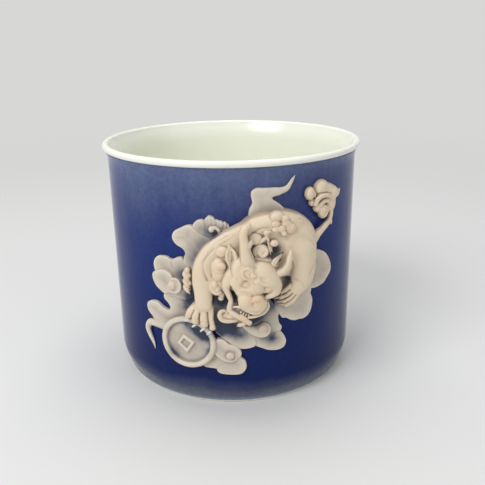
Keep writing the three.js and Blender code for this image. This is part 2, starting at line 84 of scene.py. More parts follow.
FOOT_TOP_INSET = 0.05
NEAR_AXIS = 0.02
# How many steps go round the cup, up its coat and its wall, and round its lip
ROUND_STEPS = 256
COAT_STEPS = 90
WALL_STEPS = 60
ROUNDING_STEPS = 16
# How far the lip leans out inside, and how far below the rim
LIP_INSIDE = [(0.9, 2.4), (0.3, 6.0), (0.0, 12.0)]

# The relief: how far it stands out, as a share of the heights drawn here, and the sculpting grid
RELIEF_DEPTH = 0.85
CELL = 0.15
BACK = -0.25
FAR = 2.0
TINY = 1e-6
RELIEF_LOW = (-34, 6)
RELIEF_HIGH = (40, 74)

# The forms of clay: how round their edges are, how far a groove reaches and how the skin is smoothed
PLATE_ROUNDING = 0.5
CUSHION_ROUNDING = 0.3
CUSHION_STEEPNESS = 0.6
BLOCK_ROUNDING = 0.1
BLOCK_BOTTOM = -1.0
BLOCK_TOP = 3.0
GROOVE_REACH = 2.5
SMOOTHING_ROUNDS = 2
SMOOTHING_SHARE = 0.5

# The maps of the relief that tell where it is hollow, where shade is painted into the clay: their grid, and
# how far each is blurred
MAP_CELL = 0.25
DIP_BLUR = 1.5
CREASE_BLUR = 0.5
INSIDE_BLUR = 0.7
LEAST_COVER = 0.1

# The height over which the wash and painted shade fade out, and the warm tint of the blush
WASH_AND_SHADE_FADE = 0.6
BLUSH_TINT = (0.95, 0.80, 0.70)

# The lights, in metres and watts: place, size and power
LIGHTS = {
    "key": ((-0.42, -0.46, 0.60), (0.40, 0.40), 3.6),
    "fill": ((0.62, -0.45, 0.35), (0.5, 0.6), 0.65),
    "top": ((0.0, 0.15, 0.85), (0.7, 0.7), 3.4),
}
LIGHT_TARGET = (0, 0, 0.04)
AMBIENT = 0.3
AMBIENT_TINT = (0.97, 0.98, 1.0)

# The floor and the pale backdrop it fades into, in metres
FLOOR_REACH = 9
FLOOR_COLOR = (0.78, 0.78, 0.77)
BACKDROP_COLOR = (0.68, 0.68, 0.67)
FADE_START = 0.10
FADE_END = 0.55

body_low, body_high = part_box("cup_body")
AXIS_Y = (body_low[1] + body_high[1]) / 2 / MM


# Curves through drawn points
def smooth_line(points, per_span=6, closed=False):
    p = np.array(points, float)
    if len(p) == 2 and not closed:
        steps = np.linspace(0, 1, per_span + 1)[:, None]
        return p[0] * (1 - steps) + p[1] * steps
    if closed:
        p = np.vstack([p[-1], p, p[0], p[1]])
    else:
        p = np.vstack([2 * p[0] - p[1], p, 2 * p[-1] - p[-2]])
    t = np.arange(per_span)[:, None] / per_span
    line = []
    for a, b, c, d in zip(p[:-3], p[1:-2], p[2:-1], p[3:]):
        bend = 2 * b + (c - a) * t + (2 * a - 5 * b + 4 * c - d) * t**2
        line.append(0.5 * (bend + (3 * b - a - 3 * c + d) * t**3))
    if not closed:
        line.append(p[-2][None])
    return np.vstack(line)


def spiral(centre, radius, turns, start_degrees, end_share, steps_per_turn=8):
    count = max(int(abs(turns) * steps_per_turn), 3)
    line = []
    for i in range(count + 1):
        share = i / count
        angle = math.radians(start_degrees) + 2 * math.pi * turns * share
        r = radius * (1 - (1 - end_share) * share)
        line.append((centre[0] + r * math.cos(angle), centre[1] + r * math.sin(angle)))
    return line


# Forms of clay: each is (lowest corner, highest corner, signed distance on a grid)
def ball(u, v, w, size, tilt=0):
    a = math.radians(tilt)
    su, sv, sw = size
    reach_u = math.hypot(su * math.cos(a), sv * math.sin(a))
    reach_v = math.hypot(su * math.sin(a), sv * math.cos(a))
    low = (u - reach_u, v - reach_v, w - sw)
    high = (u + reach_u, v + reach_v, w + sw)

    def distance(gu, gv, gw):
        x = gu - u
        y = gv - v
        across = (x * math.cos(a) + y * math.sin(a)) / su
        along = (y * math.cos(a) - x * math.sin(a)) / sv
        out = (gw - w) / sw
        near = np.sqrt(across**2 + along**2 + out**2) + TINY
        steep = np.sqrt((across / su) ** 2 + (along / sv) ** 2 + (out / sw) ** 2) + TINY
        return near * (near - 1) / steep

    return low, high, distance


def rope(points, radii, flat=1.0):
    line = smooth_line(points)
    share = np.linspace(0, len(radii) - 1, len(line))
    thick = np.interp(share, np.arange(len(radii)), radii)
    low = (line - thick[:, None]).min(axis=0)
    high = (line + thick[:, None]).max(axis=0)

    def distance(gu, gv, gw):
        best = FAR * 4
        for i in range(len(line) - 1):
            a = line[i]
            d = line[i + 1] - a
            x = gu - a[0]
            y = gv - a[1]
            z = gw - a[2]
            t = np.clip((x * d[0] + y * d[1] + z * d[2]) / (d @ d), 0, 1)
            off = np.sqrt((x - t * d[0]) ** 2 + (y - t * d[1]) ** 2 + ((z - t * d[2]) / flat) ** 2)
            best = np.minimum(best, off - (thick[i] * (1 - t) + thick[i + 1] * t))
        return best

    return low, high, distance


def flat_rope(points, w, radii):
    return rope([(u, v, w) for u, v in points], radii)


def outline_distance(line, gu, gv):
    best = np.full(np.broadcast_shapes(gu.shape, gv.shape), np.inf)
    inside = np.zeros(best.shape, bool)
    for a, b in zip(line, np.roll(line, -1, axis=0)):
        d = b - a
        x = gu - a[0]
        y = gv - a[1]
        t = np.clip((x * d[0] + y * d[1]) / max(d @ d, TINY), 0, 1)
        best = np.minimum(best, (x - t * d[0]) ** 2 + (y - t * d[1]) ** 2)
        if a[1] != b[1]:
            crosses = (a[1] > gv) != (b[1] > gv)
            inside ^= crosses & (gu < a[0] + (gv - a[1]) * d[0] / d[1])
    return np.where(inside, -1, 1) * np.sqrt(best)


# A flat sheet of clay with a raised edge that sinks to a lower floor inside
def plate(outline, edge, floor, slope=2.2, edge_width=0.7, base=0.0):
    line = smooth_line(outline, closed=True)
    low = (*line.min(axis=0), base)
    high = (*line.max(axis=0), base + max(edge, floor))

    def distance(gu, gv, gw):
        out = outline_distance(line, gu, gv)
        past_edge = np.maximum(-out - edge_width, 0)
        height = base + floor + (edge - floor) * np.exp(-((past_edge / slope) ** 2))
        return soft_max(out, gw - height, PLATE_ROUNDING)

    return low, high, distance


# A cushion of clay: round at its edge and level further in
def cushion(outline, height, round_width, per_span=6):
    line = smooth_line(outline, per_span, closed=True)
    low = (*line.min(axis=0), 0)
    high = (*line.max(axis=0), height)

    def distance(gu, gv, gw):
        out = outline_distance(line, gu, gv)
        share = np.clip(1 + out / round_width, 0, 1)
        top = height * np.sqrt(1 - share**2)
        return soft_max(out, (gw - top) * CUSHION_STEEPNESS, CUSHION_ROUNDING)

    return low, high, distance


# A straight-sided block with the given outline, open above, for cutting
def block(outline):
    line = np.array(outline)
    low = (*line.min(axis=0), BLOCK_BOTTOM)
    high = (*line.max(axis=0), BLOCK_TOP)

    def distance(gu, gv, gw):
        return soft_max(outline_distance(line, gu, gv), BLOCK_BOTTOM - gw, BLOCK_ROUNDING)

    return low, high, distance


def soft_min(a, b, blend):
    h = np.clip(0.5 + 0.5 * (b - a) / blend, 0, 1)
    return b + (a - b) * h - blend * h * (1 - h)


def soft_max(a, b, blend):
    return -soft_min(-a, -b, blend)


def add(form, blend=0.35):
    return "add", form, blend


def cut(form, blend=0.3):
    return "cut", form, blend


# A groove, or with a negative depth a ridge, along a line drawn on the surface
def press(points, width, depth):
    return "press", smooth_line(points), (width, depth)


# A lump of clay on a grid, built up by its steps
class Clay:
    def __init__(self, steps):
        lows = [form[0] for kind, form, _ in steps if kind == "add"]
        highs = [form[1] for kind, form, _ in steps if kind == "add"]
        low = np.min(lows, axis=0) - 3 * CELL
        high = np.max(highs, axis=0) + 3 * CELL
        low[2] = BACK - 3 * CELL
        start = np.floor(low / CELL) * CELL
        self.axes = [np.arange(a, b + CELL, CELL) for a, b in zip(start, high)]
        self.field = np.full([len(axis) for axis in self.axes], FAR)
        for kind, form, setting in steps:
            getattr(self, kind)(form, setting)
        self.field = np.maximum(self.field, BACK - self.axes[2])

    def window(self, low, high, margin):
        ranges = []
        for axis, a, b in zip(self.axes, low, high):
            first = np.searchsorted(axis, a - margin)
            last = np.searchsorted(axis, b + margin)
            ranges.append(slice(first, last))
        u, v, w = [axis[r] for axis, r in zip(self.axes, ranges)]
        return tuple(ranges), u[:, None, None], v[None, :, None], w[None, None, :]

    def add(self, form, blend):
        place, u, v, w = self.window(form[0], form[1], blend + 2 * CELL)
        self.field[place] = soft_min(self.field[place], form[2](u, v, w), blend)

    def cut(self, form, blend):
        place, u, v, w = self.window(form[0], form[1], blend + 2 * CELL)
        self.field[place] = soft_max(self.field[place], -form[2](u, v, w), blend)

    def press(self, line, setting):
        width, depth = setting
        low = (*line.min(axis=0), -np.inf)
        high = (*line.max(axis=0), np.inf)
        place, u, v, _ = self.window(low, high, GROOVE_REACH * width)
        best = np.full(np.broadcast_shapes(u.shape, v.shape), np.inf)
        for a, b in zip(line[:-1], line[1:]):
            d = b - a
            t = np.clip(((u - a[0]) * d[0] + (v - a[1]) * d[1]) / max(d @ d, TINY), 0, 1)
            best = np.minimum(best, (u - a[0] - t * d[0]) ** 2 + (v - a[1] - t * d[1]) ** 2)
        self.field[place] += depth * np.exp(-best / width**2)


# Where the surface of the clay crosses the grid's lines along one axis
def crossings(field, axis):
    inside = field < 0
    crosses = inside != np.roll(inside, -1, axis)
    last = [slice(None)] * 3
    last[axis] = -1
    crosses[tuple(last)] = False
    here = field[crosses]
    ahead = np.roll(field, -1, axis)[crosses]
    return np.argwhere(crosses), here / (here - ahead), here < 0


# The surface of a lump of clay as vertices in (u, v, w) and faces of four
def skin(clay):
    shape = np.array(clay.field.shape) - 1
    cell_ids = []
    places = []
    quads = []
    for axis in range(3):
        at, share, outward = crossings(clay.field, axis)
        point = at.astype(float)
        point[:, axis] += share
        corners = []
        for shift_b, shift_c in ((1, 1), (0, 1), (0, 0), (1, 0)):
            cell = at.copy()
            cell[:, (axis + 1) % 3] -= shift_b
            cell[:, (axis + 2) % 3] -= shift_c
            corners.append(np.ravel_multi_index(cell.T, shape))
            cell_ids.append(corners[-1])
            places.append(point)
        quad = np.stack(corners, axis=1)
        quad[~outward] = quad[~outward][:, ::-1]
        quads.append(quad)
    ids = np.concatenate(cell_ids)
    cells, index = np.unique(ids, return_inverse=True)
    counts = np.bincount(index)
    position = np.concatenate(places)
    verts = np.stack([np.bincount(index, position[:, k]) / counts for k in range(3)], axis=1)
    quads = np.searchsorted(cells, np.concatenate(quads))
    start = np.array([axis[0] for axis in clay.axes])
    return relaxed(start + verts * CELL, quads), quads


# Each vertex drawn toward the mean of its neighbours, which evens out the grid's small steps
def relaxed(verts, quads):
    a = quads.ravel()
    b = np.roll(quads, -1, axis=1).ravel()
    ends = np.concatenate([a, b])
    others = np.concatenate([b, a])
    counts = np.bincount(ends, minlength=len(verts))[:, None]
    for _ in range(SMOOTHING_ROUNDS):
        sums = [np.bincount(ends, verts[others, k], len(verts)) for k in range(3)]
        verts = verts + (np.stack(sums, axis=1) / counts - verts) * SMOOTHING_SHARE
    return verts


# The sprigs, each with its name, the CAD nodes it stands for, its material and its sculpting steps
SPRIGS = []


def sprig(name, nodes, slot, steps):
    SPRIGS.append((name, nodes, slot, steps))


def beast(name, node, steps):
    sprig(name, [node], "beast_clay", steps)


def cloud(name, node, steps):
    sprig(name, [node], "cloud_clay", steps)


# The relief, in millimetres on the unrolled wall: along the wall, up it and off it
TORSO = [
    (-10.4, 36), (-10.8, 40), (-9.8, 44.2), (-9, 47), (-7.4, 49.9), (-5.2, 52.1), (-3.1, 53.7),
    (-0.6, 55.1), (1.5, 56.5), (3.2, 57.3), (5.4, 58.3), (8.6, 59.1), (10.9, 59.8), (13.4, 59.8),
    (16.3, 58.8), (19.4, 57.1), (21.8, 54.8), (23.2, 51.8), (23.2, 48.6), (22.9, 45), (22.4, 42),
    (21, 39.6), (17, 39.8), (12, 41), (8, 38), (2, 36.5), (-3, 36.4), (-5.6, 36),
]
SHOULDER = [
    (6, 56.4, 1.4), (2, 55, 2.1), (-2.2, 52.7, 2.6), (-5.8, 49.4, 2.9), (-7.9, 45, 3.1), (-8.3, 41, 3.1),
    (-7.9, 37.4, 3), (-7.8, 34.2, 2.9),
]
HIND_LEG = [(18, 48, 2), (18.2, 43.2, 2.4), (17.9, 39.8, 2.6), (16.6, 37.4, 2.8)]

BODY_STEPS = [
    add(cushion(TORSO, 4.5, 4.4)),
    add(ball(16.6, 49.6, 0.8, (5.6, 6.6, 4.9)), 1.5),
    add(ball(11, 56.2, 0.6, (8.4, 3.2, 4.7), -4), 1.2),
    add(rope(SHOULDER, (1.8, 2, 2.1, 2.3, 2.35, 2.35, 2.35, 2.45)), 0.9),
    add(rope(HIND_LEG, (4.3, 4, 3.5, 2.6)), 1),
    add(ball(22, 42.6, 2.2, (0.6, 0.9, 0.7)), 0.2),
    add(rope([
        (8.4, 57, 2.6), (5, 55.8, 2.6), (2.2, 54.4, 3), (-0.2, 52.2, 3.2),
    ], (2.2, 2.2, 2.1, 1.6)), 1.4),
    add(ball(13.6, 43.4, 1, (2.6, 3, 2.9)), 1.2),
    cut(ball(9.2, 49.6, 7, (4, 3.8, 3.4), 20), 1),
    press([(-1.6, 54), (-4, 51.9), (-5.8, 49.6), (-7, 47.2)], 0.35, 0.12),
    press([(-4.6, 50.6), (-6, 48.8), (-7.2, 46.8), (-7.1, 44), (-6.5, 41.6)], 0.3, 0.3),
    press([(21.2, 44.6), (19.8, 43.2), (19, 41.6)], 0.4, 0.25),
    press([(13.6, 47.4), (14.8, 44.6), (14.4, 42.2)], 0.4, 0.3),
    press([(4.5, 54.8), (6.6, 55.9), (8.4, 56)], 0.35, 0.3),
    press([(15.4, 40.4), (16.8, 39.4), (17.6, 38)], 0.3, 0.22),
]

PAW = [
    (-10.6, 34), (-11.8, 31.6), (-12.4, 29.8), (-11.4, 29), (-10.4, 28), (-8.8, 28), (-7.8, 27.4),
    (-6.6, 27.4), (-5.8, 28.6), (-5.4, 31), (-5.6, 34),
]
LEFT_TOES = [
    ([(-9.8, 33.6, 2.7), (-11.3, 31.6, 3.1), (-12.3, 29.9, 2.7)], (1.15, 1.2, 0.95)),
    ([(-9.3, 32.8, 3.2), (-10, 30.6, 3.5), (-10.3, 28.9, 3.1)], (1.05, 1.15, 1.2)),
    ([(-7.9, 32.6, 3.3), (-7.9, 30, 3.6), (-7.9, 28.3, 3.2)], (1.05, 1.15, 1.25)),
    ([(-6.2, 32.6, 3), (-6.1, 29.4, 3.1), (-5.9, 26.9, 2.7)], (0.8, 0.7, 0.9)),
]
LEFT_PAW_STEPS = [
    add(ball(-7.9, 33.6, 2.9, (2.6, 2, 1.9))),
    add(cushion(PAW, 3.9, 1.2), 0.5),
    *[add(rope(line, radii), 0.3) for line, radii in LEFT_TOES],
    press([(-10.2, 32.4), (-11, 30.5), (-11.4, 28.8)], 0.16, 0.3),
    press([(-8.8, 31.6), (-9, 29.8), (-9, 28)], 0.16, 0.3),
    press([(-6.9, 32), (-6.8, 29.6), (-6.7, 27.4)], 0.16, 0.3),
    press([(-11, 29.6), (-10.2, 30), (-9.3, 29.6)], 0.25, 0.14),
    press([(-8.7, 28.8), (-7.8, 29.2), (-6.9, 28.8)], 0.25, 0.14),
]


def left_claw(order, tip, root, w):
    middle = ((tip[0] + root[0]) / 2 - 0.15, (tip[1] + root[1]) / 2, w + 0.25)
    horn = add(rope([(*root, w), middle, (*tip, w - 0.3)], (0.42, 0.3, 0.08)))
    sprig(f"{order}_left_talon", [f"{order}_left_claw"], "white_slip", [horn])


RIGHT_FINGERS = [
    ([(15.2, 38.8, 3.4), (13.5, 37.5, 3.7), (12.3, 36.6, 3.1)], (0.7, 0.75, 0.6)),
    ([(15.8, 37.7, 3.6), (13.8, 36.2, 3.9), (12.2, 35.2, 3.2)], (0.75, 0.8, 0.65)),
    ([(16.3, 36.7, 3.6), (14.5, 35, 3.9), (12.9, 33.9, 3.2)], (0.75, 0.8, 0.65)),
    ([(16.8, 35.6, 3.4), (15.1, 33.9, 3.6), (13.7, 32.6, 2.9)], (0.85, 0.9, 0.8)),
]
RIGHT_CLAWS = [((12.3, 35.2), (10.3, 34.9)), ((12.9, 33.9), (10.9, 33.7)), ((13.4, 32.7), (11.6, 32.9))]
RIGHT_PAW_STEPS = [
    add(ball(16.4, 37.2, 2.7, (2.5, 2.4, 2))),
    *[add(rope(line, radii), 0.22) for line, radii in RIGHT_FINGERS],
    *[add(rope([(*root, 3.1), (*tip, 2.7)], (0.42, 0.12)), 0.1) for root, tip in RIGHT_CLAWS],
    press([(15.4, 38.2), (13.8, 37), (12.5, 36)], 0.17, 0.3),
    press([(16, 37.2), (14.2, 35.7), (12.8, 34.7)], 0.17, 0.3),
    press([(16.6, 36.2), (14.8, 34.5), (13.6, 33.5)], 0.17, 0.3),
]

UPPER_LIP = [
    (-0.3, 34.6, 6.2), (0.7, 34.9, 6.7), (1.7, 34.6, 7.2), (2.8, 33.9, 7.5), (4, 33.2, 7.6), (5.2, 33, 7.6),
    (6.4, 33.7, 7.5), (7.3, 34.8, 7.3),
]
HEAD_STEPS = [
    add(ball(5.8, 43, 4.4, (4.9, 4.8, 4.2))),
    add(ball(0.4, 38.4, 3.4, (2.2, 3.6, 1.5))),
    add(ball(7, 37.6, 4.2, (2.4, 2, 1.8))),
    add(ball(7.8, 42.6, 5.8, (5.4, 2.6, 2.9), -57), 0.5),
    add(ball(1.6, 44.8, 5, (2.6, 4.2, 2.9), 6), 0.8),
    add(rope([(2.9, 48.4, 5.4), (3.2, 46.6, 6), (3.4, 45, 6.2)], (1.6, 1.9, 1.8)), 0.7),
    add(ball(0.8, 41.6, 5.4, (2.3, 2.8, 2.3)), 0.7),
    add(ball(2, 39.4, 5.6, (1.9, 2.2, 2.2)), 0.5),
    add(ball(4.4, 40.2, 5.8, (3.4, 3.2, 3)), 0.7),
    add(ball(2.8, 36.7, 6.7, (2.1, 2.7, 2.2)), 0.3),
    add(ball(5.4, 36, 6.7, (2.2, 2.7, 2.2)), 0.35),
    add(ball(4.4, 35, 6.3, (3.2, 2.1, 2.2)), 0.4),
    add(ball(9.4, 38.4, 6.2, (1.5, 1.4, 1.8)), 0.5),
    add(rope([(7, 37.3, 6.5), (7.8, 37.4, 6.8), (8.8, 37.8, 7)], (0.55, 0.75, 0.9)), 0.2),
    add(ball(7.7, 39.8, 7, (1.5, 1.3, 1.3)), 0.5),
    add(rope(UPPER_LIP, (0.25, 0.3, 0.34, 0.36, 0.38, 0.36, 0.34, 0.25)), 0.2),
    add(ball(5.2, 42.3, 8.3, (0.75, 0.7, 0.6)), 0.25),
    add(rope([(6, 42, 8.3), (7.2, 41.2, 8.3), (8.4, 40.9, 8.2)], (0.4, 0.45, 0.35)), 0.4),
    press(spiral((2.7, 41.5), 0.98, 1, 0, 1, 12), 0.2, 0.16),
    press([(6.8, 40.4), (6.9, 39.4), (7.8, 38.9), (8.7, 39.3)], 0.16, 0.2),
    press([(1.4, 39.4), (2.6, 39.6), (3.9, 38.9), (4.3, 37.6)], 0.2, 0.2),
    press([(4.1, 36.4), (4.2, 35.4), (4.4, 34.4)], 0.2, 0.15),
    press([(4.4, 38.7), (5.2, 38.9), (6, 38.7)], 0.2, 0.12),
    press([(4, 40.8), (4.9, 40.2), (5.9, 40.5)], 0.2, 0.14),
    press([(4.5, 39.8), (5.3, 39.4), (6.3, 39.7)], 0.2, 0.14),
    press([(0.6, 43.4), (0.9, 42.2), (1.5, 41)], 0.3, 0.1),
    press([(1, 45.2), (1.5, 46.6), (2.7, 47.2), (4, 46.9), (4.9, 45.8)], 0.25, 0.16),
    press([(5, 44.8), (5.4, 43.8), (6.2, 43.2), (7.2, 43.2)], 0.25, 0.14),
    press([(8.4, 42.6), (9.4, 42), (10.2, 40.8)], 0.25, 0.12),
    press([(6.3, 38.6), (6.9, 38), (6.8, 37.2), (7.2, 36.6)], 0.18, 0.3),
    press([(3.6, 43), (4.4, 41.8), (4.6, 40.6)], 0.22, 0.12),
    press([(6.2, 43.6), (6, 42.8), (6.6, 41.9)], 0.25, 0.12),
    press([(-1, 40.6), (-0.6, 39.2), (-0.2, 37.8), (0.3, 36.2)], 0.35, 1.2),
]


def eye_steps(u, v, w, size):
    return [
        add(ball(u, v, w, (size, size, size * 0.8))),
        press(spiral((u, v), 0.1, 1.0, 0, 1.0), 0.2, 0.08),
    ]


LEFT_HORN_STEPS = [
    add(rope([
        (3.6, 45.6, 5), (3, 48, 6.6), (2.6, 50, 7.1), (2.3, 52.4, 7.3), (2.1, 54.8, 7.2), (2.6, 56.5, 6.9),
        (3.4, 57.5, 6.6),
    ], (1.9, 1.75, 1.45, 1.2, 1.05, 0.92, 0.6))),
    add(rope([(2.7, 48.4, 5.4), (2.4, 52.2, 5.8), (2.2, 55.4, 5.6)], (1.6, 1.1, 0.7)), 0.4),
    add(rope([(2.9, 51.4, 7.3), (3.7, 52.6, 7.4), (4, 53.8, 7.2)], (0.8, 0.5, 0.18)), 0.3),
    press([(1.4, 48), (1.3, 51), (1.3, 53.6), (1.6, 55.8)], 0.2, 0.14),
    press([(4.3, 48.2), (3.5, 50.4), (3.1, 51.6)], 0.2, 0.16),
]
RIGHT_HORN_STEPS = [
    add(rope([
        (9.8, 42.9, 5.6), (11.4, 44.1, 6.6), (12.4, 45.7, 7), (12.9, 47.6, 7), (13.3, 49.5, 6.8),
    ], (1.25, 1.08, 0.88, 0.74, 0.45))),
    press([(10.9, 45), (11.6, 45.9), (12.1, 47)], 0.18, 0.12),
]

CHEEK_LINE = [
    (1.2, 47, 4.1), (0.1, 45.2, 4.5), (-0.9, 43.2, 5), (-1.7, 41.4, 5.5), (-1.9, 39.8, 5.5),
    (-1.4, 38, 5.4), (-0.9, 36.2, 5.2), (-1.1, 34.6, 4.9), (-1.2, 33.2, 4.6), (-0.2, 32.2, 4.6),
]
TEETH = [(1.5, 33), (2.1, 32.5), (2.7, 32.1), (3.3, 31.9)]
EAR = [
    (-0.9, 52.2), (-1.7, 50.4), (-2, 48.4), (-1.4, 46.4), (-0.6, 44.8), (0.2, 46), (0.7, 47.4), (0.5, 48.8),
    (-0.2, 50.4),
]
COIN_CENTRE = (-13.1, 21.2)
FRAME_OUTER = [(-14.3, 23.7), (-16.5, 20.5), (-13.4, 17.5), (-10.9, 21.4)]
FRAME_INNER = [(-14.2, 22.3), (-15.3, 20.6), (-13.5, 19.1), (-12.2, 21.1)]


def elbow_leaf(u, v):
    line = [
        (u - 0.3, v + 1.2, 2), (u - 0.3, v + 0.2, 2.3), (u + 0.4, v - 0.7, 2.4), (u + 0.9, v - 1.7, 2.1),
    ]
    return add(rope(line, (0.3, 0.62, 0.6, 0.25)), 0.15)


def neck_furrow(i):
    top = (5.4 + 0.8 * i, 47.9 - 0.3 * i)
    middle = (5.8 + 0.8 * i, 46.8 - 0.35 * i)
    bottom = (6.4 + 0.7 * i, 45.8 - 0.4 * i)
    return press([top, middle, bottom], 0.12, 0.28)


def rear_knob_fin(i):
    top = (15.4 + 0.9 * i, 57.5 - 0.4 * i)
    middle = (16.1 + 0.8 * i, 56.6 - 0.4 * i)
    bottom = (16.4 + 0.6 * i, 55.2 - 0.1 * i)
    return add(flat_rope([top, middle, bottom], 4.6 - 0.3 * i, (0.15, 0.36, 0.15)), 0.08)


sprig("beast_body", ["body", "left_foreleg", "right_foreleg"], "beast_clay", BODY_STEPS)
beast("left_paw_toes", "left_paw", LEFT_PAW_STEPS)
left_claw("first", (-13.7, 27.7), (-12.5, 28.6), 2.4)
left_claw("second", (-11.6, 26.3), (-10.3, 27.5), 2.8)
left_claw("third", (-9.3, 25.1), (-8.2, 26.5), 2.8)
left_claw("fourth", (-7.6, 24.2), (-6.6, 25.4), 2.6)
beast("right_paw_toes", "right_paw", RIGHT_PAW_STEPS)
beast("beast_head", "head", HEAD_STEPS)
beast("left_eye_lid", "left_eye", eye_steps(2.7, 41.5, 8, 0.74))
beast("right_eye_lid", "right_eye", eye_steps(7.9, 39.9, 8.1, 0.5))
beast("nose_pad", "nose", [
    add(ball(5.1, 37.4, 7.8, (1.5, 1.4, 1.4))),
    add(ball(4.1, 36.9, 7.9, (0.8, 0.75, 0.8)), 0.4),
    add(ball(6.1, 36.8, 7.9, (0.8, 0.75, 0.8)), 0.4),
    press([(4.3, 36.5), (4.7, 36.4)], 0.15, 0.3),
    press([(5.6, 36.3), (6, 36.4)], 0.15, 0.3),
])
beast("brow_curl", "left_brow_curl", [
    add(rope([
        (3.2, 42.9, 7.75), (2.2, 43.4, 7.7), (1.8, 44.6, 7.65), (2.2, 45.8, 7.65), (3.2, 46.1, 7.75),
        (4, 45.5, 7.9),
    ], (0.3, 0.5, 0.55, 0.6, 0.6, 0.5))),
    add(rope([(4, 45.4, 7.7), (4.1, 44.6, 8), (4.3, 43.9, 8.2)], (0.5, 0.5, 0.7)), 0.2),
    add(rope([(3.2, 45.2, 7.5), (3, 44.5, 7.7), (3.4, 43.8, 7.9)], (0.4, 0.5, 0.45)), 0.1),
])
beast("left_horn_spire", "left_horn", LEFT_HORN_STEPS)
beast("right_horn_spire", "right_horn", RIGHT_HORN_STEPS)
beast("left_ear_leaf", "left_ear", [
    add(ball(-0.6, 48.2, 4.6, (1.3, 3.3, 1))),
    add(plate(EAR, 1.3, 0.8, 0.8, 0.3, 4.6), 0.2),
    add(rope([
        (-0.7, 51.4, 5.5), (0.2, 50, 5.9), (0.6, 48.4, 6.1), (0.5, 47, 6.1), (-0.1, 45.6, 5.9),
    ], (0.2, 0.42, 0.5, 0.5, 0.4)), 0.2),
    press([(-0.9, 51), (-1.2, 48.8), (-0.8, 46.2)], 0.16, 0.2),
    press([(-0.5, 50.2), (-0.4, 48.4), (-0.4, 46.6)], 0.16, 0.25),
])
beast("tongue_curl", "tongue", [
    add(rope([
        (1.6, 31.7, 5.2), (2.3, 30.9, 5.6), (3, 29.9, 5.7), (3.5, 29.2, 5.4),
    ], (0.55, 0.7, 0.72, 0.62))),
    add(ball(3.6, 29.7, 5.8, (0.55, 0.6, 0.5)), 0.1),
    press([(1.9, 31.6), (2.5, 30.9), (3.1, 30)], 0.16, 0.18),
])
beast("jaw_roll", "lower_jaw", [
    add(ball(2.6, 32.6, 4.5, (2.6, 1.5, 0.9), -28)),
    add(rope([
        (7.9, 35.4, 6.2), (7.9, 34.1, 6.5), (6.9, 32.7, 6.7), (5.3, 31.9, 6.6), (4, 31.4, 6.1),
        (3.2, 31, 5.4),
    ], (0.3, 0.4, 0.45, 0.45, 0.42, 0.35)), 0.3),
    add(rope([
        (-0.6, 32.4, 4.8), (0.6, 31.6, 5.1), (1.6, 30.6, 5.2), (2.3, 29.7, 5),
    ], (0.8, 0.75, 0.6, 0.4)), 0.12),
    add(rope([(2.1, 28.9, 4.6), (1.2, 28.6, 4.5), (0.3, 27.8, 3.9)], (0.75, 0.6, 0.12)), 0.12),
    *[add(ball(u, v, 5.9, (0.2, 0.5, 0.45), -25), 0.05) for u, v in TEETH],
])
beast("cheek_ribbon", "cheek_lock", [
    add(rope(CHEEK_LINE, (1.2, 1.6, 1.7, 1.3, 0.9, 0.7, 0.62, 0.7, 0.8, 0.75))),
    press([(-1.9, 42.4), (-2.4, 40.8), (-2.3, 39.4), (-1.6, 37.6), (-1.2, 35.8)], 0.18, 0.1),
])
beast("beard_curl", "beard_lock", [
    add(ball(-1.8, 30.4, 2.2, (1.9, 1.5, 0.8))),
    add(flat_rope([
        (1.2, 29.5), (-0.4, 29.2), (-2, 29.1), (-3.3, 29.5), (-3.9, 30.6), (-3.6, 31.8), (-2.7, 32.2),
        (-2, 31.8),
    ], 2.7, (0.6, 0.7, 0.75, 0.75, 0.7, 0.6, 0.5, 0.35)), 0.2),
    add(flat_rope([(-1, 30.4), (0.4, 30.6)], 2.5, (0.9, 0.9)), 0.3),
    press([(-3.2, 29.9), (-1.6, 29.7), (0, 29.8)], 0.16, 0.2),
])
beast("large_curl", "large_mane_curl", [
    add(ball(-3.6, 45.6, 3.9, (2.1, 2.8, 2))),
    add(ball(-3.7, 43.5, 3.7, (1.95, 2.4, 1.9)), 0.6),
    add(flat_rope([
        (-4.7, 49.2), (-6, 48.1), (-6.7, 46.6), (-6.7, 44.8), (-6.2, 43.2), (-5.6, 42.2),
    ], 4.1, (0.5, 0.75, 0.85, 0.85, 0.75, 0.4)), 0.25),
    add(ball(-2.9, 46, 5.5, (1.05, 1.1, 0.95)), 0.25),
    press([(-4.7, 47.4), (-5, 45.8), (-4.6, 44.4), (-3.8, 43.8)], 0.2, 0.12),
    press([(-3.9, 44.1), (-3, 43.8), (-2, 44.2)], 0.18, 0.14),
])
beast("upper_curl", "upper_mane_curl", [
    add(ball(-2.8, 49.9, 3.9, (1.8, 2.1, 1.65))),
    add(flat_rope([
        (-3.9, 48.6), (-4.3, 50), (-3.8, 51.6), (-2.6, 52.7), (-0.9, 53.7), (0.6, 54.8),
    ], 4.3, (0.45, 0.6, 0.7, 0.7, 0.65, 0.5)), 0.15),
    add(ball(-2.4, 50.3, 5.1, (1.05, 1.05, 0.85)), 0.15),
    press([(-4.1, 48.6), (-3, 48.4), (-1.7, 48.5)], 0.18, 0.25),
])
beast("middle_curl", "middle_mane_curl", [
    add(ball(-4.5, 39.6, 3.6, (1.7, 2.2, 1.2), 14)),
    add(flat_rope([
        (-4.5, 41.2), (-5.5, 40.8), (-5.7, 39.6), (-5.2, 38.4), (-4.3, 37.8), (-3.3, 38.2),
    ], 4.4, (0.35, 0.5, 0.5, 0.5, 0.5, 0.3)), 0.25),
    add(ball(-4.7, 40.3, 4.6, (0.75, 0.8, 0.6)), 0.15),
    add(ball(-4, 39, 4.5, (0.6, 0.6, 0.5)), 0.15),
])
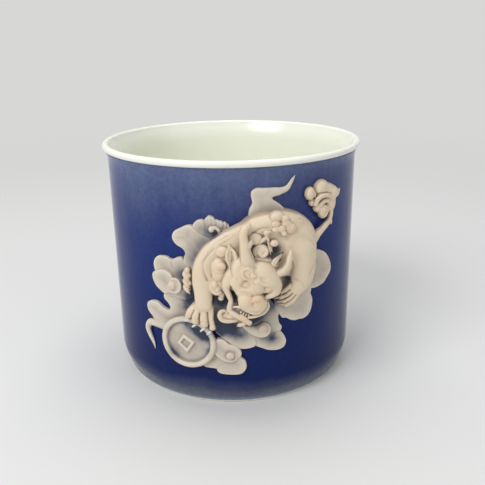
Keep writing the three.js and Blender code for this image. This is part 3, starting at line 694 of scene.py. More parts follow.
beast("lower_curl", "lower_mane_curl", [
    add(ball(-3.3, 37.4, 3.1, (0.9, 1.2, 0.9), 20)),
    add(ball(-3.4, 36.1, 3, (0.8, 0.85, 0.8), 25), 0.2),
    press(spiral((-3.4, 36.3), 0.5, 0.9, 0, 0.5), 0.14, 0.12),
])
beast("neck_spiral", "neck_curl", [
    add(ball(6.3, 49.8, 4.8, (2.15, 2.15, 1.15))),
    add(rope([
        (7, 50.9, 5.6), (7.7, 50.1, 5.7), (7.5, 49, 5.8), (6.6, 48.6, 5.9), (6, 49.3, 5.9),
    ], (0.3, 0.42, 0.5, 0.5, 0.4)), 0.3),
    add(ball(6.6, 49.9, 5.6, (0.7, 0.7, 0.5)), 0.2),
    press([(5.6, 51), (5.2, 50), (5.3, 49), (6, 48.2)], 0.2, 0.15),
    add(ball(5, 53.2, 4.8, (1.85, 1.75, 1.1)), 0.12),
    add(ball(6.8, 47, 5, (2.4, 1.4, 1), -20), 0.12),
    *[neck_furrow(i) for i in range(4)],
])
beast("neck_knob", "neck_bead", [
    add(ball(9.6, 51.8, 5.4, (1, 1, 0.9))),
    add(flat_rope([(8, 53.2), (8.3, 51.6), (8.5, 50.2), (8.8, 48.6)], 5, (0.3, 0.34, 0.32, 0.14)), 0.1),
    add(flat_rope([(9, 51), (9, 50), (9.3, 49)], 4.9, (0.3, 0.26, 0.1)), 0.08),
    press(spiral((9.6, 51.8), 0.55, 1, 60, 0.6, 12), 0.13, 0.14),
])
beast("neck_tuft", "neck_flame", [
    add(ball(7.6, 54.8, 5.4, (0.75, 0.8, 0.8))),
    add(flat_rope([(7.6, 54.6), (7.8, 53.5), (8.2, 52.6)], 5.3, (0.5, 0.45, 0.3)), 0.15),
    add(flat_rope([(7.6, 53.6), (6.9, 52.8), (6, 51.8)], 5.2, (0.35, 0.55, 0.2)), 0.1),
    add(ball(8.4, 55, 5.4, (0.5, 0.45, 0.45)), 0.12),
])
beast("neck_flames", "right_neck_flame", [
    add(flat_rope([(9.2, 45.8), (9.8, 47), (10.8, 48), (11.8, 48.9)], 5.5, (0.9, 0.8, 0.6, 0.22))),
    add(flat_rope([(10, 45.4), (10.6, 46.4), (11.3, 47.2)], 5.4, (0.6, 0.5, 0.15)), 0.1),
    add(flat_rope([(8.6, 46.2), (8.6, 47.2), (8.3, 48)], 5.3, (0.6, 0.55, 0.2)), 0.1),
    press([(9.3, 46), (9.9, 47.1), (10.9, 48.1)], 0.13, 0.25),
    press([(10.2, 45.8), (10.7, 46.6), (11.2, 47.1)], 0.12, 0.15),
])
beast("upper_knob", "upper_spine_knob", [
    add(ball(10.4, 58.6, 4.2, (1.9, 1.6, 1.7))),
    add(ball(12.3, 58, 5, (1.15, 1.05, 1.1)), 0.4),
    press(spiral((10.7, 58.4), 0.9, 0.7, 200, 0.8, 12), 0.16, 0.15),
])
beast("left_knob", "left_spine_knob", [
    add(ball(10, 56.8, 4.9, (1.3, 1.15, 1.1))),
    add(ball(9.9, 55.4, 5.1, (1.05, 0.9, 0.9)), 0.4),
    press([(9, 56.2), (10, 56.1), (11, 56.4)], 0.15, 0.15),
])
beast("right_knob", "right_spine_knob", [
    add(ball(13.8, 55.3, 4.9, (1.5, 1.55, 1.2))),
    add(ball(12.6, 56.8, 5, (1.3, 1.05, 1)), 0.4),
    press(spiral((13.8, 55.3), 0.95, 1.2, 200, 0.4, 12), 0.15, 0.22),
])
beast("lower_knob", "lower_spine_knob", [
    add(ball(11.3, 55.5, 4.9, (1.3, 1.15, 1.1))),
    add(rope([(11.7, 54.9, 5.2), (12, 54.1, 5.3), (12.1, 53.2, 5)], (0.7, 0.8, 0.3)), 0.4),
    press([(11.2, 54.6), (11.9, 54.9), (12.6, 54.8)], 0.14, 0.15),
])
beast("rear_knob", "rear_spine_knob", [
    add(ball(16.4, 56, 3.9, (1.3, 1.4, 0.7), -20)),
    *[rear_knob_fin(i) for i in range(3)],
])
beast("elbow_leaves", "elbow_tuft", [
    add(flat_rope([(-12.1, 43.6), (-12.4, 41), (-12, 37.4)], 1.7, (0.7, 1, 0.45))),
    add(ball(-12.2, 43.3, 2, (0.85, 0.9, 0.8)), 0.2),
    add(ball(-11.7, 41.9, 2.1, (0.5, 0.8, 0.5), 20), 0.1),
    add(ball(-11.6, 39.7, 2.1, (0.45, 0.8, 0.5), 20), 0.1),
    *[elbow_leaf(-12.7, v) for v in (41.8, 39.9, 38.1)],
])
beast("tail_root", "tail_stem", [
    add(rope([
        (21.4, 49.6, 1.4), (23.4, 51, 1.7), (25.2, 52, 1.8), (26.9, 53.2, 1.9), (28.2, 54.6, 1.9),
        (28.6, 56.6, 2),
    ], (2.1, 1.35, 0.95, 0.85, 0.8, 0.75))),
    add(ball(28.9, 53.6, 1.6, (0.6, 1.1, 0.6), 15), 0.25),
    press([(24.6, 51.8), (26.6, 53), (27.8, 54.4)], 0.2, 0.15),
])
beast("tail_plume", "tail_tuft", [
    add(ball(25.2, 63.6, 0.9, (2.5, 2.5, 1.9), -10)),
    add(ball(27.6, 62.2, 0.9, (2.8, 2.6, 1.9), -20), 0.7),
    add(ball(28.7, 59, 1, (2.2, 3.2, 1.8)), 0.7),
    add(rope([(29.4, 61.8, 1.2), (31.6, 61.2, 1), (34.6, 61.8, 0.5)], (2, 1.2, 0.1)), 0.6),
    add(rope([
        (22.6, 59.8, 1.9), (23.2, 61.2, 2.3), (24.9, 61.8, 2.4), (26.8, 61.6, 2.4), (28.2, 60.6, 2.2),
    ], (0.8, 0.8, 0.75, 0.65, 0.4)), 0.2),
    add(rope([
        (24.4, 59.4, 2), (25.4, 60.1, 2.2), (26.8, 60, 2.2), (27.8, 59, 2),
    ], (0.9, 0.75, 0.6, 0.4)), 0.15),
    press([(22.8, 62), (24.2, 62.6), (26.2, 62.5), (28, 61.8)], 0.18, 0.3),
    press([(27.4, 58.8), (28, 57.8), (29.2, 57.2)], 0.2, 0.16),
])
beast("tail_left_lobes", "left_tail_curl", [
    add(ball(21.1, 62.8, 1.2, (1.5, 1.9, 1.4))),
    add(ball(22.3, 62.4, 1.2, (0.7, 0.9, 1.2)), 0.3),
    add(ball(22.2, 60.2, 0.9, (1.1, 1.2, 1)), 0.3),
])
beast("tail_lower_lobes", "lower_tail_curl", [
    add(ball(25.6, 57.3, 1.7, (1.8, 2.2, 1.5), 8)),
    add(ball(23.8, 58.6, 1.3, (1.4, 1.5, 1.3)), 0.3),
    press([(24.2, 58.8), (25.4, 59.3), (26.8, 58.9)], 0.2, 0.2),
    press(spiral((25.6, 57.4), 1, 0.6, 60, 0.9, 12), 0.18, 0.12),
])
cloud("coin_rim", "coin", [
    add(cushion(spiral(COIN_CENTRE, 7.7, 1, 0, 1, 24)[:-1], 1.45, 0.5)),
    add(flat_rope(spiral(COIN_CENTRE, 7.2, 1, 0, 1, 24), 1.9, (0.82, 0.82)), 0.12),
])
cloud("coin_frame", "coin_square", [
    add(cushion(FRAME_OUTER, 2.2, 0.3, per_span=1)),
    cut(block(FRAME_INNER), 0.12),
])
cloud("cloud_bead", "upper_cloud_bead", [
    add(ball(-5.5, 55.1, 1.5, (0.8, 0.9, 0.8))),
    add(rope([
        (-5.3, 55.5, 1.3), (-4.4, 55.4, 1.4), (-3.6, 54.6, 1.3), (-3.7, 53.6, 1.1),
    ], (0.5, 0.5, 0.5, 0.25)), 0.15),
])
cloud("upper_left_billow", "upper_left_cloud", [
    add(plate([
        (-10.6, 55.5), (-11.6, 55.8), (-12.8, 55.5), (-14.1, 54.8), (-15.6, 54), (-16.4, 53), (-16.6, 51.9),
        (-16.2, 50.8), (-15.2, 49.8), (-14, 49.2), (-13.2, 48.5), (-13, 47.5), (-13.4, 46.6), (-13.2, 44.5),
        (-11, 43), (-7, 46), (-5.4, 51.4), (-6.5, 52.6), (-8.8, 53.8),
    ], 1.45, 0.8)),
    press([(-14.8, 52.6), (-12.8, 52.4), (-10.8, 51), (-9.4, 49)], 0.6, -0.15),
])
cloud("rear_upper_billow", "rear_upper_cloud", [
    add(plate([
        (-0.8, 54.8), (-1.1, 56.1), (-1.9, 56.8), (-2.8, 57.1), (-3.7, 57.3), (-4.6, 57.8), (-5.3, 58.3),
        (-6.3, 58.6), (-6.9, 58.1), (-7.6, 57.5), (-8.4, 57.5), (-9.4, 57.2), (-10.2, 56.5), (-10.7, 55.6),
        (-10.2, 53.4), (-6, 50.4), (-1, 51.6),
    ], 1.1, 0.55)),
    press([(-6.3, 58.2), (-6, 57.2), (-6, 56)], 0.25, -0.2),
    press([(-7.6, 57.4), (-7.3, 56.4), (-7.2, 55.2)], 0.22, 0.22),
    press([(-4.6, 57.7), (-4.3, 56.7), (-4.4, 55.8)], 0.22, 0.22),
    press([(-2.6, 57), (-2.4, 56), (-2.6, 55)], 0.2, 0.25),
    press([(-1.6, 56.4), (-1.5, 55.7), (-1.7, 55)], 0.18, 0.2),
])
cloud("left_billow", "left_cloud", [
    add(plate([
        (-13.3, 45.6), (-14.3, 46.4), (-15.5, 46.2), (-16.7, 45.6), (-17.9, 45.5), (-18.6, 45.9), (-20, 46),
        (-21.7, 45.7), (-22.9, 44.6), (-23.4, 43.2), (-23.2, 41.7), (-22.6, 40), (-20.4, 37.4), (-17, 34.6),
        (-12, 34), (-9.6, 38), (-10.6, 44),
    ], 1.15, 0.5)),
    press([(-17, 45.2), (-17.4, 44), (-17, 42.8)], 0.3, 0.2),
])
cloud("left_billow_lobe", "left_cloud_lobe", [
    add(plate([
        (-21.8, 41.5), (-20.1, 42.1), (-18.5, 41.9), (-17.3, 41), (-16.6, 40.1), (-15.3, 39.7),
        (-14.4, 38.4), (-14.4, 37), (-15.4, 35.9), (-16.6, 35.5), (-18.1, 35.5), (-19.6, 35), (-21.1, 35.8),
        (-22.4, 36.8), (-23.2, 38.1), (-23.6, 39.8), (-23.1, 40.9),
    ], 1.9, 1.1)),
])
cloud("left_billow_curl", "left_cloud_curl", [
    add(ball(-16.1, 38, 1.7, (1.7, 2.2, 0.8), 20)),
    add(flat_rope([
        (-17.7, 39), (-16.8, 40), (-15.5, 40.1), (-14.5, 38.9), (-14.7, 37.1), (-16.1, 36), (-17.3, 36.3),
    ], 2.1, (0.2, 0.3, 0.34, 0.34, 0.34, 0.32, 0.2)), 0.12),
    add(ball(-16.8, 38.2, 2.5, (1.15, 1.3, 0.95)), 0.1),
])
cloud("lower_left_billow", "lower_left_cloud", [
    add(plate([
        (-18.6, 36.4), (-20.3, 34.6), (-20.3, 33.2), (-19.2, 32.1), (-18.6, 31.2), (-18.6, 30.2),
        (-19.4, 29.9), (-21.1, 30.4), (-23, 31.5), (-24.9, 31.4), (-26.5, 30.6), (-27, 29.4), (-26.6, 27.9),
        (-25.4, 26.7), (-24.3, 25.6), (-21.4, 23.8), (-18.6, 23.6), (-12, 26), (-8.6, 31), (-9.2, 36.6),
        (-13, 37.6),
    ], 1.25, 0.5)),
    add(rope([
        (-20.6, 24.2, 0.5), (-24.2, 24.4, 0.6), (-26.6, 23.8, 0.6), (-27.6, 21.8, 0.6), (-26.8, 19.4, 0.5),
        (-25.8, 17.4, 0.4), (-25.5, 15.2, 0.2),
    ], (1.4, 1.25, 1.05, 0.95, 0.8, 0.55, 0.12), 0.8), 0.4),
])
cloud("coin_billow", "coin_cloud", [
    add(plate([
        (-3.6, 22.2), (-1.6, 21.2), (0.5, 19.8), (1.6, 18.2), (1.6, 16.8), (2.7, 15.6), (3.1, 13.9),
        (2.6, 12.3), (1.4, 11.3), (-1.1, 11.1), (-3.9, 11.4), (-5, 12), (-5.8, 13), (-7.3, 13.2),
        (-9, 13.6), (-10, 16), (-7, 20),
    ], 1.25, 0.7)),
    press([(-5.4, 12.8), (-4.6, 13.8), (-3.6, 14.6)], 0.3, 0.15),
])
cloud("coin_billow_curl", "coin_cloud_curl", [
    add(plate([
        (-5.6, 22.4), (-4.1, 22.8), (-2.8, 22.3), (-1.7, 21.2), (-0.2, 20.7), (1, 19.8), (1.7, 18.4),
        (1.4, 17.2), (0.4, 16.2), (-0.9, 15.5), (-2.6, 15.7), (-4.4, 16.6), (-5.8, 18.1), (-6.4, 20),
    ], 1.7, 1.15)),
    add(flat_rope([
        (-5.4, 18.4), (-4.2, 17.1), (-2.6, 16.2), (-1, 16), (0, 16.8), (-0.1, 18), (-1, 18.8),
    ], 1.6, (0.35, 0.4, 0.45, 0.45, 0.4, 0.35, 0.2)), 0.15),
    add(ball(-1.4, 17.8, 2.1, (1.1, 1.1, 0.9)), 0.1),
])
cloud("bottom_billow", "bottom_cloud", [
    add(plate([
        (-5.6, 25.4), (-4, 23.4), (-1.6, 21.4), (0.4, 19.9), (2.2, 19.4), (4, 19.5), (5.7, 19.9),
        (7.4, 19.2), (9.3, 18.3), (12, 17.9), (13.9, 18.5), (14.6, 20.2), (14.1, 22), (13.1, 23.7),
        (13.2, 25.2), (12.4, 26.6), (12.1, 28.4), (12, 31), (6, 38), (0, 39.5), (-5, 38), (-5.6, 30),
    ], 1.3, 0.45, 2.6)),
    press([(5.7, 20.2), (6, 21.2), (5.6, 22.2)], 0.3, 0.2),
    press([(12.9, 23.8), (11.8, 23.8), (10.9, 23.4)], 0.3, 0.2),
])
cloud("bottom_billow_curl", "bottom_cloud_curl", [
    add(rope([
        (2.4, 26.3, 0.8), (4, 25.5, 0.9), (5.9, 24.9, 1), (7.6, 25.1, 1.1),
    ], (0.3, 0.9, 1.4, 1.8), 0.7)),
    add(flat_rope([
        (3.6, 24.9), (5.2, 24), (7, 23.3), (8.5, 23.5), (9.3, 24.7), (9.1, 26.1), (7.9, 27), (6.7, 26.7),
    ], 1.5, (0.2, 0.38, 0.45, 0.5, 0.5, 0.5, 0.42, 0.25)), 0.15),
    add(ball(7.5, 25.9, 2.1, (1.25, 1.3, 1)), 0.12),
])
cloud("right_billow", "right_cloud", [
    add(plate([
        (12.9, 28.3), (14.4, 27.6), (15.9, 26.6), (17.4, 26.1), (18.7, 26.2), (20, 26), (21.6, 26.6),
        (22.6, 27.8), (23.1, 29.5), (23.2, 31.5), (22.5, 33.4), (22.7, 34.6), (21.8, 37), (17, 41),
        (11.6, 40), (10.6, 34),
    ], 1.3, 0.55)),
])
cloud("far_right_billow", "far_right_cloud", [
    add(plate([
        (21, 36.4), (22.4, 34.9), (23.8, 34.6), (25.7, 34.7), (27.7, 35.3), (28.9, 36.4), (30.3, 37.8),
        (30.6, 39.5), (30, 41.4), (28.8, 43.4), (27.2, 44.9), (24.3, 46.2), (21, 46), (19.4, 41),
    ], 1.3, 0.5)),
])
cloud("top_billow", "top_cloud", [
    add(plate([
        (4.1, 57.4), (4.2, 59.9), (5, 61.7), (4.7, 63.6), (4.8, 64.7), (5.4, 65.3), (6.3, 65.7),
        (8.1, 65.6), (10, 65.5), (11.9, 65.3), (12.6, 64.6), (12.5, 63.6), (11, 63.2), (10.3, 62.9),
        (10.5, 62.4), (11.6, 61.6), (12.8, 60.6), (13.6, 59.4), (13, 57), (6, 56),
    ], 1.2, 0.8)),
    add(rope([
        (10.4, 64.4, 0.4), (12.6, 64.5, 0.5), (14.4, 65, 0.5), (15.4, 66.2, 0.5), (16.2, 67.3, 0.4),
        (17, 68.2, 0.2),
    ], (1.1, 0.95, 0.75, 0.55, 0.4, 0.1), 0.8), 0.4),
])


# Dark spots in the low places, partly a blue-grey wash and partly painted shade, and a warm blush on the
# beads
# Each spot's place along the wall and up it, its spread and its strength
WASH_AND_SHADE = [
    (-12.2, 34.2, 2, 0.8), (-10.8, 35.8, 1.6, 0.7), (-13.6, 31.8, 1.8, 0.4), (-14.4, 41, 2, 0.5),
    (-12.4, 37.4, 1.8, 0.5), (-11.8, 46.4, 2.6, 0.25), (-9.2, 50.2, 2.6, 0.2), (-11.2, 25.2, 1.5, 0.7),
    (-9.4, 23.8, 1.5, 0.75), (-8, 23, 1.4, 0.6), (-13.4, 26.4, 1.4, 0.4), (-17.8, 17, 2, 0.35),
    (-13.1, 21.2, 6.8, 0.15), (-7.4, 18.6, 1.4, 0.2), (-3.4, 35.2, 2.6, 0.85), (0, 38, 2.6, 0.6),
    (-4.8, 30.4, 1.8, 0.45), (-3.4, 27.6, 1.9, 0.8), (-0.6, 26.4, 2.2, 0.6), (-4.4, 25, 1.9, 0.6),
    (-1.8, 24.9, 2, 0.35), (0.6, 24, 2, 0.4), (2.6, 23.6, 1.6, 0.25), (4.6, 28.6, 2.1, 0.95),
    (6.8, 29.6, 2.2, 0.55), (9.6, 31.8, 2.1, 0.5), (11, 33.4, 1.6, 0.4), (10.3, 22, 1.9, 0.6),
    (7.4, 22.4, 1.4, 0.25), (10.8, 35.2, 1.4, 0.5), (14, 40.2, 1.1, 0.5), (18.4, 36, 1.4, 0.2),
    (14, 31.6, 1.4, 0.2), (22.6, 38.4, 1.6, 0.3), (24, 41.6, 1.4, 0.15), (11, 49.4, 2, 0.75),
    (9, 50.2, 1.1, 0.5), (4.8, 51.6, 1.2, 0.3), (12.2, 47.4, 1.5, 0.4), (13.6, 50.6, 2, 0.2),
    (5, 53.3, 1.8, 0.3), (6.2, 50, 1.7, 0.25), (9.4, 46.4, 1.4, 0.25), (7, 47, 1.6, 0.2),
    (8.8, 49.4, 3.2, 0.16), (6, 50.6, 3, 0.22), (10, 46.8, 1.8, 0.2), (2.4, 32.6, 1.4, 1.2),
    (-4.6, 53.4, 1.8, 0.35), (-7.4, 54.4, 2.6, 0.25),
]
BLUSH = [
    (-2.9, 45.8, 1.1, 0.7), (-2.4, 50.3, 1, 0.3), (-4, 43.4, 2, 0.3), (-9.6, 43, 1.6, 0.3),
    (-9.6, 29.6, 1.6, 0.3), (5.2, 37, 1.8, 0.7), (2.7, 41.5, 0.9, 0.7), (7.9, 39.8, 1, 0.5),
    (4.2, 43.9, 0.9, 0.5), (2.6, 30.4, 1.2, 0.7), (3.6, 37.2, 2.6, 0.35), (10.9, 57.6, 1.2, 0.8),
    (13.6, 55, 1.4, 0.4), (2, 55.4, 2, 0.3), (25.6, 57, 1.4, 0.5), (22.2, 62.6, 1, 0.5),
    (-17, 38, 1.2, 0.9), (-1.5, 17.9, 1, 0.9), (7.6, 25.6, 1.3, 0.9), (8, 45.4, 1.6, 0.3),
    (1.6, 44, 3, 0.2),
]
# The wash and painted shade reach only these pieces, and only below this height on each
WASH_AND_SHADE_BELOW = {
    "beast_body": 4.2, "beast_head": 4.8, "neck_spiral": 5.5, "neck_knob": 5.0, "neck_flames": 6.2,
    "jaw_roll": 5.4, "coin_rim": 3.2, "upper_left_billow": 3.0, "rear_upper_billow": 3.0,
    "left_billow": 3.0, "lower_left_billow": 3.0, "coin_billow": 3.0, "bottom_billow": 3.0,
    "right_billow": 3.0, "far_right_billow": 3.0, "top_billow": 3.0,
}
# How much lighter a few pieces are painted, as painted light that takes back part of the painted shade and
# wash
PAINTED_LIGHTENING = {
    "bottom_billow_curl": 0.16, "left_billow_curl": 0.08, "coin_billow_curl": 0.04, "right_billow": 0.06,
    "top_billow": 0.05,
}


# Mesh objects
def to_wall(points):
    angle = points[:, 0] / WALL_RADIUS
    radius = WALL_RADIUS + RELIEF_DEPTH * points[:, 2]
    return np.stack([radius * np.sin(angle), AXIS_Y - radius * np.cos(angle), points[:, 1]], axis=1) * MM


def mesh_object(name, verts, faces):
    mesh = bpy.data.meshes.new(name)
    mesh.vertices.add(len(verts))
    mesh.vertices.foreach_set("co", np.ascontiguousarray(verts, np.float32).ravel())
    mesh.loops.add(faces.size)
    mesh.loops.foreach_set("vertex_index", np.ascontiguousarray(faces, np.int32).ravel())
    mesh.polygons.add(len(faces))
    mesh.polygons.foreach_set("loop_start", np.arange(len(faces), dtype=np.int32) * faces.shape[1])
    mesh.update(calc_edges=True)
    mesh.shade_smooth()
    made = bpy.data.objects.new(name, mesh)
    bpy.context.scene.collection.objects.link(made)
    return made


def turned(name, profile):
    around = np.arange(ROUND_STEPS)
    beside = (around + 1) % ROUND_STEPS
    angles = around * 2 * math.pi / ROUND_STEPS
    level = np.ones(ROUND_STEPS)
    rings = []
    for r, z in profile:
        rings.append(np.stack([r * np.cos(angles), AXIS_Y + r * np.sin(angles), z * level], axis=1))
    faces = []
    for i in range(len(profile) - 1):
        a = i * ROUND_STEPS
        b = a + ROUND_STEPS
        faces.append(np.stack([a + around, a + beside, b + beside, b + around], axis=1))
    return mesh_object(name, np.vstack(rings) * MM, np.vstack(faces))


def finished(made, material, slot, *nodes_replaced):
    made.data.materials.append(material)
    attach(made, "root")
    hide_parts(*nodes_replaced)


# The greatest heights over the unrolled wall, on a grid that can be blurred and read anywhere
class WallMap:
    def __init__(self):
        self.low = np.array(RELIEF_LOW)
        self.values = np.zeros(((np.array(RELIEF_HIGH) - self.low) / MAP_CELL).astype(int) + 1)

    def raise_to(self, points, heights):
        at = np.rint((points[:, :2] - self.low) / MAP_CELL).astype(int)
        np.maximum.at(self.values, (at[:, 0], at[:, 1]), heights)

    def blurred(self, spread):
        made = WallMap()
        reach = int(3 * spread / MAP_CELL)
        kernel = np.exp(-((np.arange(-reach, reach + 1) * MAP_CELL / spread) ** 2) / 2)
        kernel /= kernel.sum()
        rows = np.apply_along_axis(np.convolve, 0, self.values, kernel, "same")
        made.values = np.apply_along_axis(np.convolve, 1, rows, kernel, "same")
        return made

    def read(self, points):
        place = (points[:, :2] - self.low) / MAP_CELL
        a, b = place.astype(int).T
        s, r = (place - place.astype(int)).T
        v = self.values
        near = v[a, b] * (1 - s) + v[a + 1, b] * s
        far = v[a, b + 1] * (1 - s) + v[a + 1, b + 1] * s
        return near * (1 - r) + far * r


def map_of(verts, heights):
    made = WallMap()
    made.raise_to(verts, heights)
    return made


def brushed(spots, verts):
    sums = np.zeros(len(verts))
    for u, v, spread, strength in spots:
        away = (verts[:, 0] - u) ** 2 + (verts[:, 1] - v) ** 2
        sums += strength * np.exp(-away / spread**2)
    return sums


# The wash and painted shade at each point, less the painted lightening of a few pieces
def wash_and_shade_on(name, verts):
    low = np.clip((WASH_AND_SHADE_BELOW.get(name, BACK) - verts[:, 2]) / WASH_AND_SHADE_FADE, 0, 1)
    return brushed(WASH_AND_SHADE, verts) * low - PAINTED_LIGHTENING.get(name, 0)


def set_point_numbers(made, name, values):
    attribute = made.data.attributes.new(name, "FLOAT", "POINT")
    attribute.data.foreach_set("value", np.ascontiguousarray(values, np.float32))


def relief(materials):
    skins = [(piece, *skin(Clay(piece[3]))) for piece in SPRIGS]
    heights = WallMap()
    for _, verts, _ in skins:
        heights.raise_to(verts, verts[:, 2])
    wide = heights.blurred(DIP_BLUR)
    for (name, nodes, slot, _), verts, quads in skins:
        cover = map_of(verts, np.ones(len(verts)))
        covered = np.maximum(cover.blurred(CREASE_BLUR).read(verts), LEAST_COVER)
        near = map_of(verts, verts[:, 2]).blurred(CREASE_BLUR).read(verts) / covered
        made = mesh_object(name, to_wall(verts), quads)
        # Painted shade: how far each point lies below the blurred heights of all pieces (dip) and of its
        # own piece (crease); then how far it lies inside its piece, the wash and painted shade, and the
        # blush
        set_point_numbers(made, "dip", wide.read(verts) - verts[:, 2])
        set_point_numbers(made, "crease", near - verts[:, 2])
        set_point_numbers(made, "inside", cover.blurred(INSIDE_BLUR).read(verts))
        set_point_numbers(made, "wash_and_shade", wash_and_shade_on(name, verts))
        set_point_numbers(made, "blush", brushed(BLUSH, verts))
        finished(made, materials[slot], slot, *nodes)


# Shader nodes: short ways to add them to a node tree and join them up
class Nodes:
    def __init__(self, tree):
        self.tree = tree

    # A node with its settings, and values or links for its inputs
    def new(self, kind, inputs=None, **settings):
        made = self.tree.nodes.new(kind)
        for name, value in settings.items():
            setattr(made, name, value)
        for key, value in (inputs or {}).items():
            self.put(made.inputs[key], value)
        return made

    def put(self, socket, value):
        if isinstance(value, bpy.types.NodeSocket):
            self.tree.links.new(value, socket)
        elif socket.type == "RGBA":
            socket.default_value = (*value, 1)
        else:
            socket.default_value = value

    def ramp(self, source, stops):
        made = self.new("ShaderNodeValToRGB", {"Fac": source})
        elements = made.color_ramp.elements
        while len(elements) < len(stops):
            elements.new(0.5)
        for element, (place, color) in zip(elements, stops):
            element.position = place
            element.color = (*color, 1)
        return made.outputs["Color"]

    def mix(self, share, a, b, way="MIX"):
        inputs = {"Factor": share, 6: a, 7: b}
        return self.new("ShaderNodeMix", inputs, data_type="RGBA", blend_type=way).outputs[2]

    def math(self, operation, *values, clamp=False):
        inputs = dict(enumerate(values))
        return self.new("ShaderNodeMath", inputs, operation=operation, use_clamp=clamp).outputs[0]

    # The value times a share, with an offset added
    def scaled(self, value, share, offset=0.0, clamp=False):
        return self.math("MULTIPLY_ADD", value, share, offset, clamp=clamp)

    # The sum of the values, kept between 0 and 1
    def total(self, *values):
        whole = values[0]
        for value in values[1:]:
            whole = self.math("ADD", whole, value)
        return self.math("ADD", whole, 0.0, clamp=True)

    # The place on the object, in metres times the scale
    def place(self, scale=(1, 1, 1)):
        where = self.new("ShaderNodeTexCoord").outputs["Object"]
        return self.new("ShaderNodeMapping", {"Scale": scale, "Vector": where}).outputs["Vector"]

    def noise(self, scale, detail=3.0, roughness=0.5, upright=1.0):
        place = self.place((scale, scale, scale * upright))
        inputs = {"Scale": 1.0, "Detail": detail, "Roughness": roughness, "Vector": place}
        return self.new("ShaderNodeTexNoise", inputs).outputs["Fac"]

    def attribute(self, name):
        return self.new("ShaderNodeAttribute", attribute_name=name).outputs["Fac"]

    # 0 at the low height and 1 at the high one, in millimetres
    def height_share(self, low, high):
        height = self.new("ShaderNodeSeparateXYZ", {0: self.place()}).outputs["Z"]
        inputs = {"From Min": low * MM, "From Max": high * MM, "Value": height}
        return self.new("ShaderNodeMapRange", inputs).outputs["Result"]

    # 1 for what the camera sees, straight or in a mirror or through glass
    def seen_share(self):
        path = self.new("ShaderNodeLightPath").outputs
        return self.total(path["Is Camera Ray"], path["Is Glossy Ray"], path["Is Transmission Ray"])


# A material with its main shader
class Paint(Nodes):
    def __init__(self, name):
        self.material = bpy.data.materials.new(name)
        self.material.use_nodes = True
        super().__init__(self.material.node_tree)
        self.shader = self.tree.nodes["Principled BSDF"]

    def color(self, value):
        self.put(self.shader.inputs["Base Color"], value)

    def bump(self, height, strength, distance):
        inputs = {"Strength": strength, "Distance": distance, "Height": height}
        self.put(self.shader.inputs["Normal"], self.new("ShaderNodeBump", inputs).outputs["Normal"])

    # How dark a hollow is painted, from one of the numbers kept on the relief's points: painted shade from
    # the dips and creases, or a darker tone further inside a piece
    def hollow(self, name, share, most, offset=0.0, clamp=False):
        return self.math("MINIMUM", self.scaled(self.attribute(name), share, offset, clamp), most)

    # Clay darkened by painted shade in its hollows and by the wash and painted shade, then warmed by the
    # blush
    def shaded_and_washed(self, shares, stops):
        mottle = self.scaled(self.noise(700), 1.1, 0.45)
        wash_and_shade = self.math("MULTIPLY", self.attribute("wash_and_shade"), mottle)
        clay = self.ramp(self.total(*shares, wash_and_shade), stops)
        blush = self.scaled(self.attribute("blush"), 0.9, clamp=True)
        self.color(self.mix(blush, clay, BLUSH_TINT, "MULTIPLY"))


# Materials
def cloud_clay():
    paint = Paint("cloud_clay")
    # Painted shade in the dips beside taller pieces and in the creases; the clouds are also painted darker
    # further inside their outlines
    paint.shaded_and_washed([
        paint.hollow("inside", 0.8, 0.18, -0.50, clamp=True),
        paint.hollow("dip", 0.12, 0.14),
        paint.hollow("crease", 0.8, 0.2),
        paint.scaled(paint.noise(300, 2.0), 0.2, -0.1),
    ], [
        (0.0, (0.77, 0.69, 0.575)), (0.22, (0.62, 0.545, 0.455)), (0.42, (0.44, 0.395, 0.345)),
        (0.62, (0.23, 0.225, 0.24)), (0.82, (0.085, 0.09, 0.13)), (1.0, (0.035, 0.045, 0.08)),
    ])
    paint.shader.inputs["Roughness"].default_value = 0.5
    paint.shader.inputs["Specular IOR Level"].default_value = 0.3
    paint.bump(paint.noise(3500), 0.12, 0.0002)
    return paint.material


def beast_clay():
    paint = Paint("beast_clay")
    # Painted shade in the dips beside taller pieces and in the creases
    paint.shaded_and_washed([
        paint.hollow("dip", 0.07, 0.16, 0.03),
        paint.hollow("crease", 1.3, 0.34),
        paint.scaled(paint.noise(250, 2.0), 0.16, -0.08),
    ], [
        (0.0, (0.83, 0.69, 0.51)), (0.22, (0.71, 0.565, 0.41)), (0.42, (0.45, 0.365, 0.285)),
        (0.62, (0.24, 0.215, 0.205)), (0.82, (0.09, 0.09, 0.11)), (1.0, (0.035, 0.04, 0.06)),
    ])
    paint.shader.inputs["Roughness"].default_value = 0.45
    paint.shader.inputs["Specular IOR Level"].default_value = 0.35
    paint.bump(paint.noise(3500), 0.1, 0.0002)
    return paint.material


def white_slip():
    paint = Paint("white_slip")
    paint.color(paint.ramp(paint.noise(600, 2.0), [(0.3, (0.66, 0.69, 0.69)), (0.7, (0.80, 0.81, 0.79))]))
    paint.shader.inputs["Roughness"].default_value = 0.4
    return paint.material


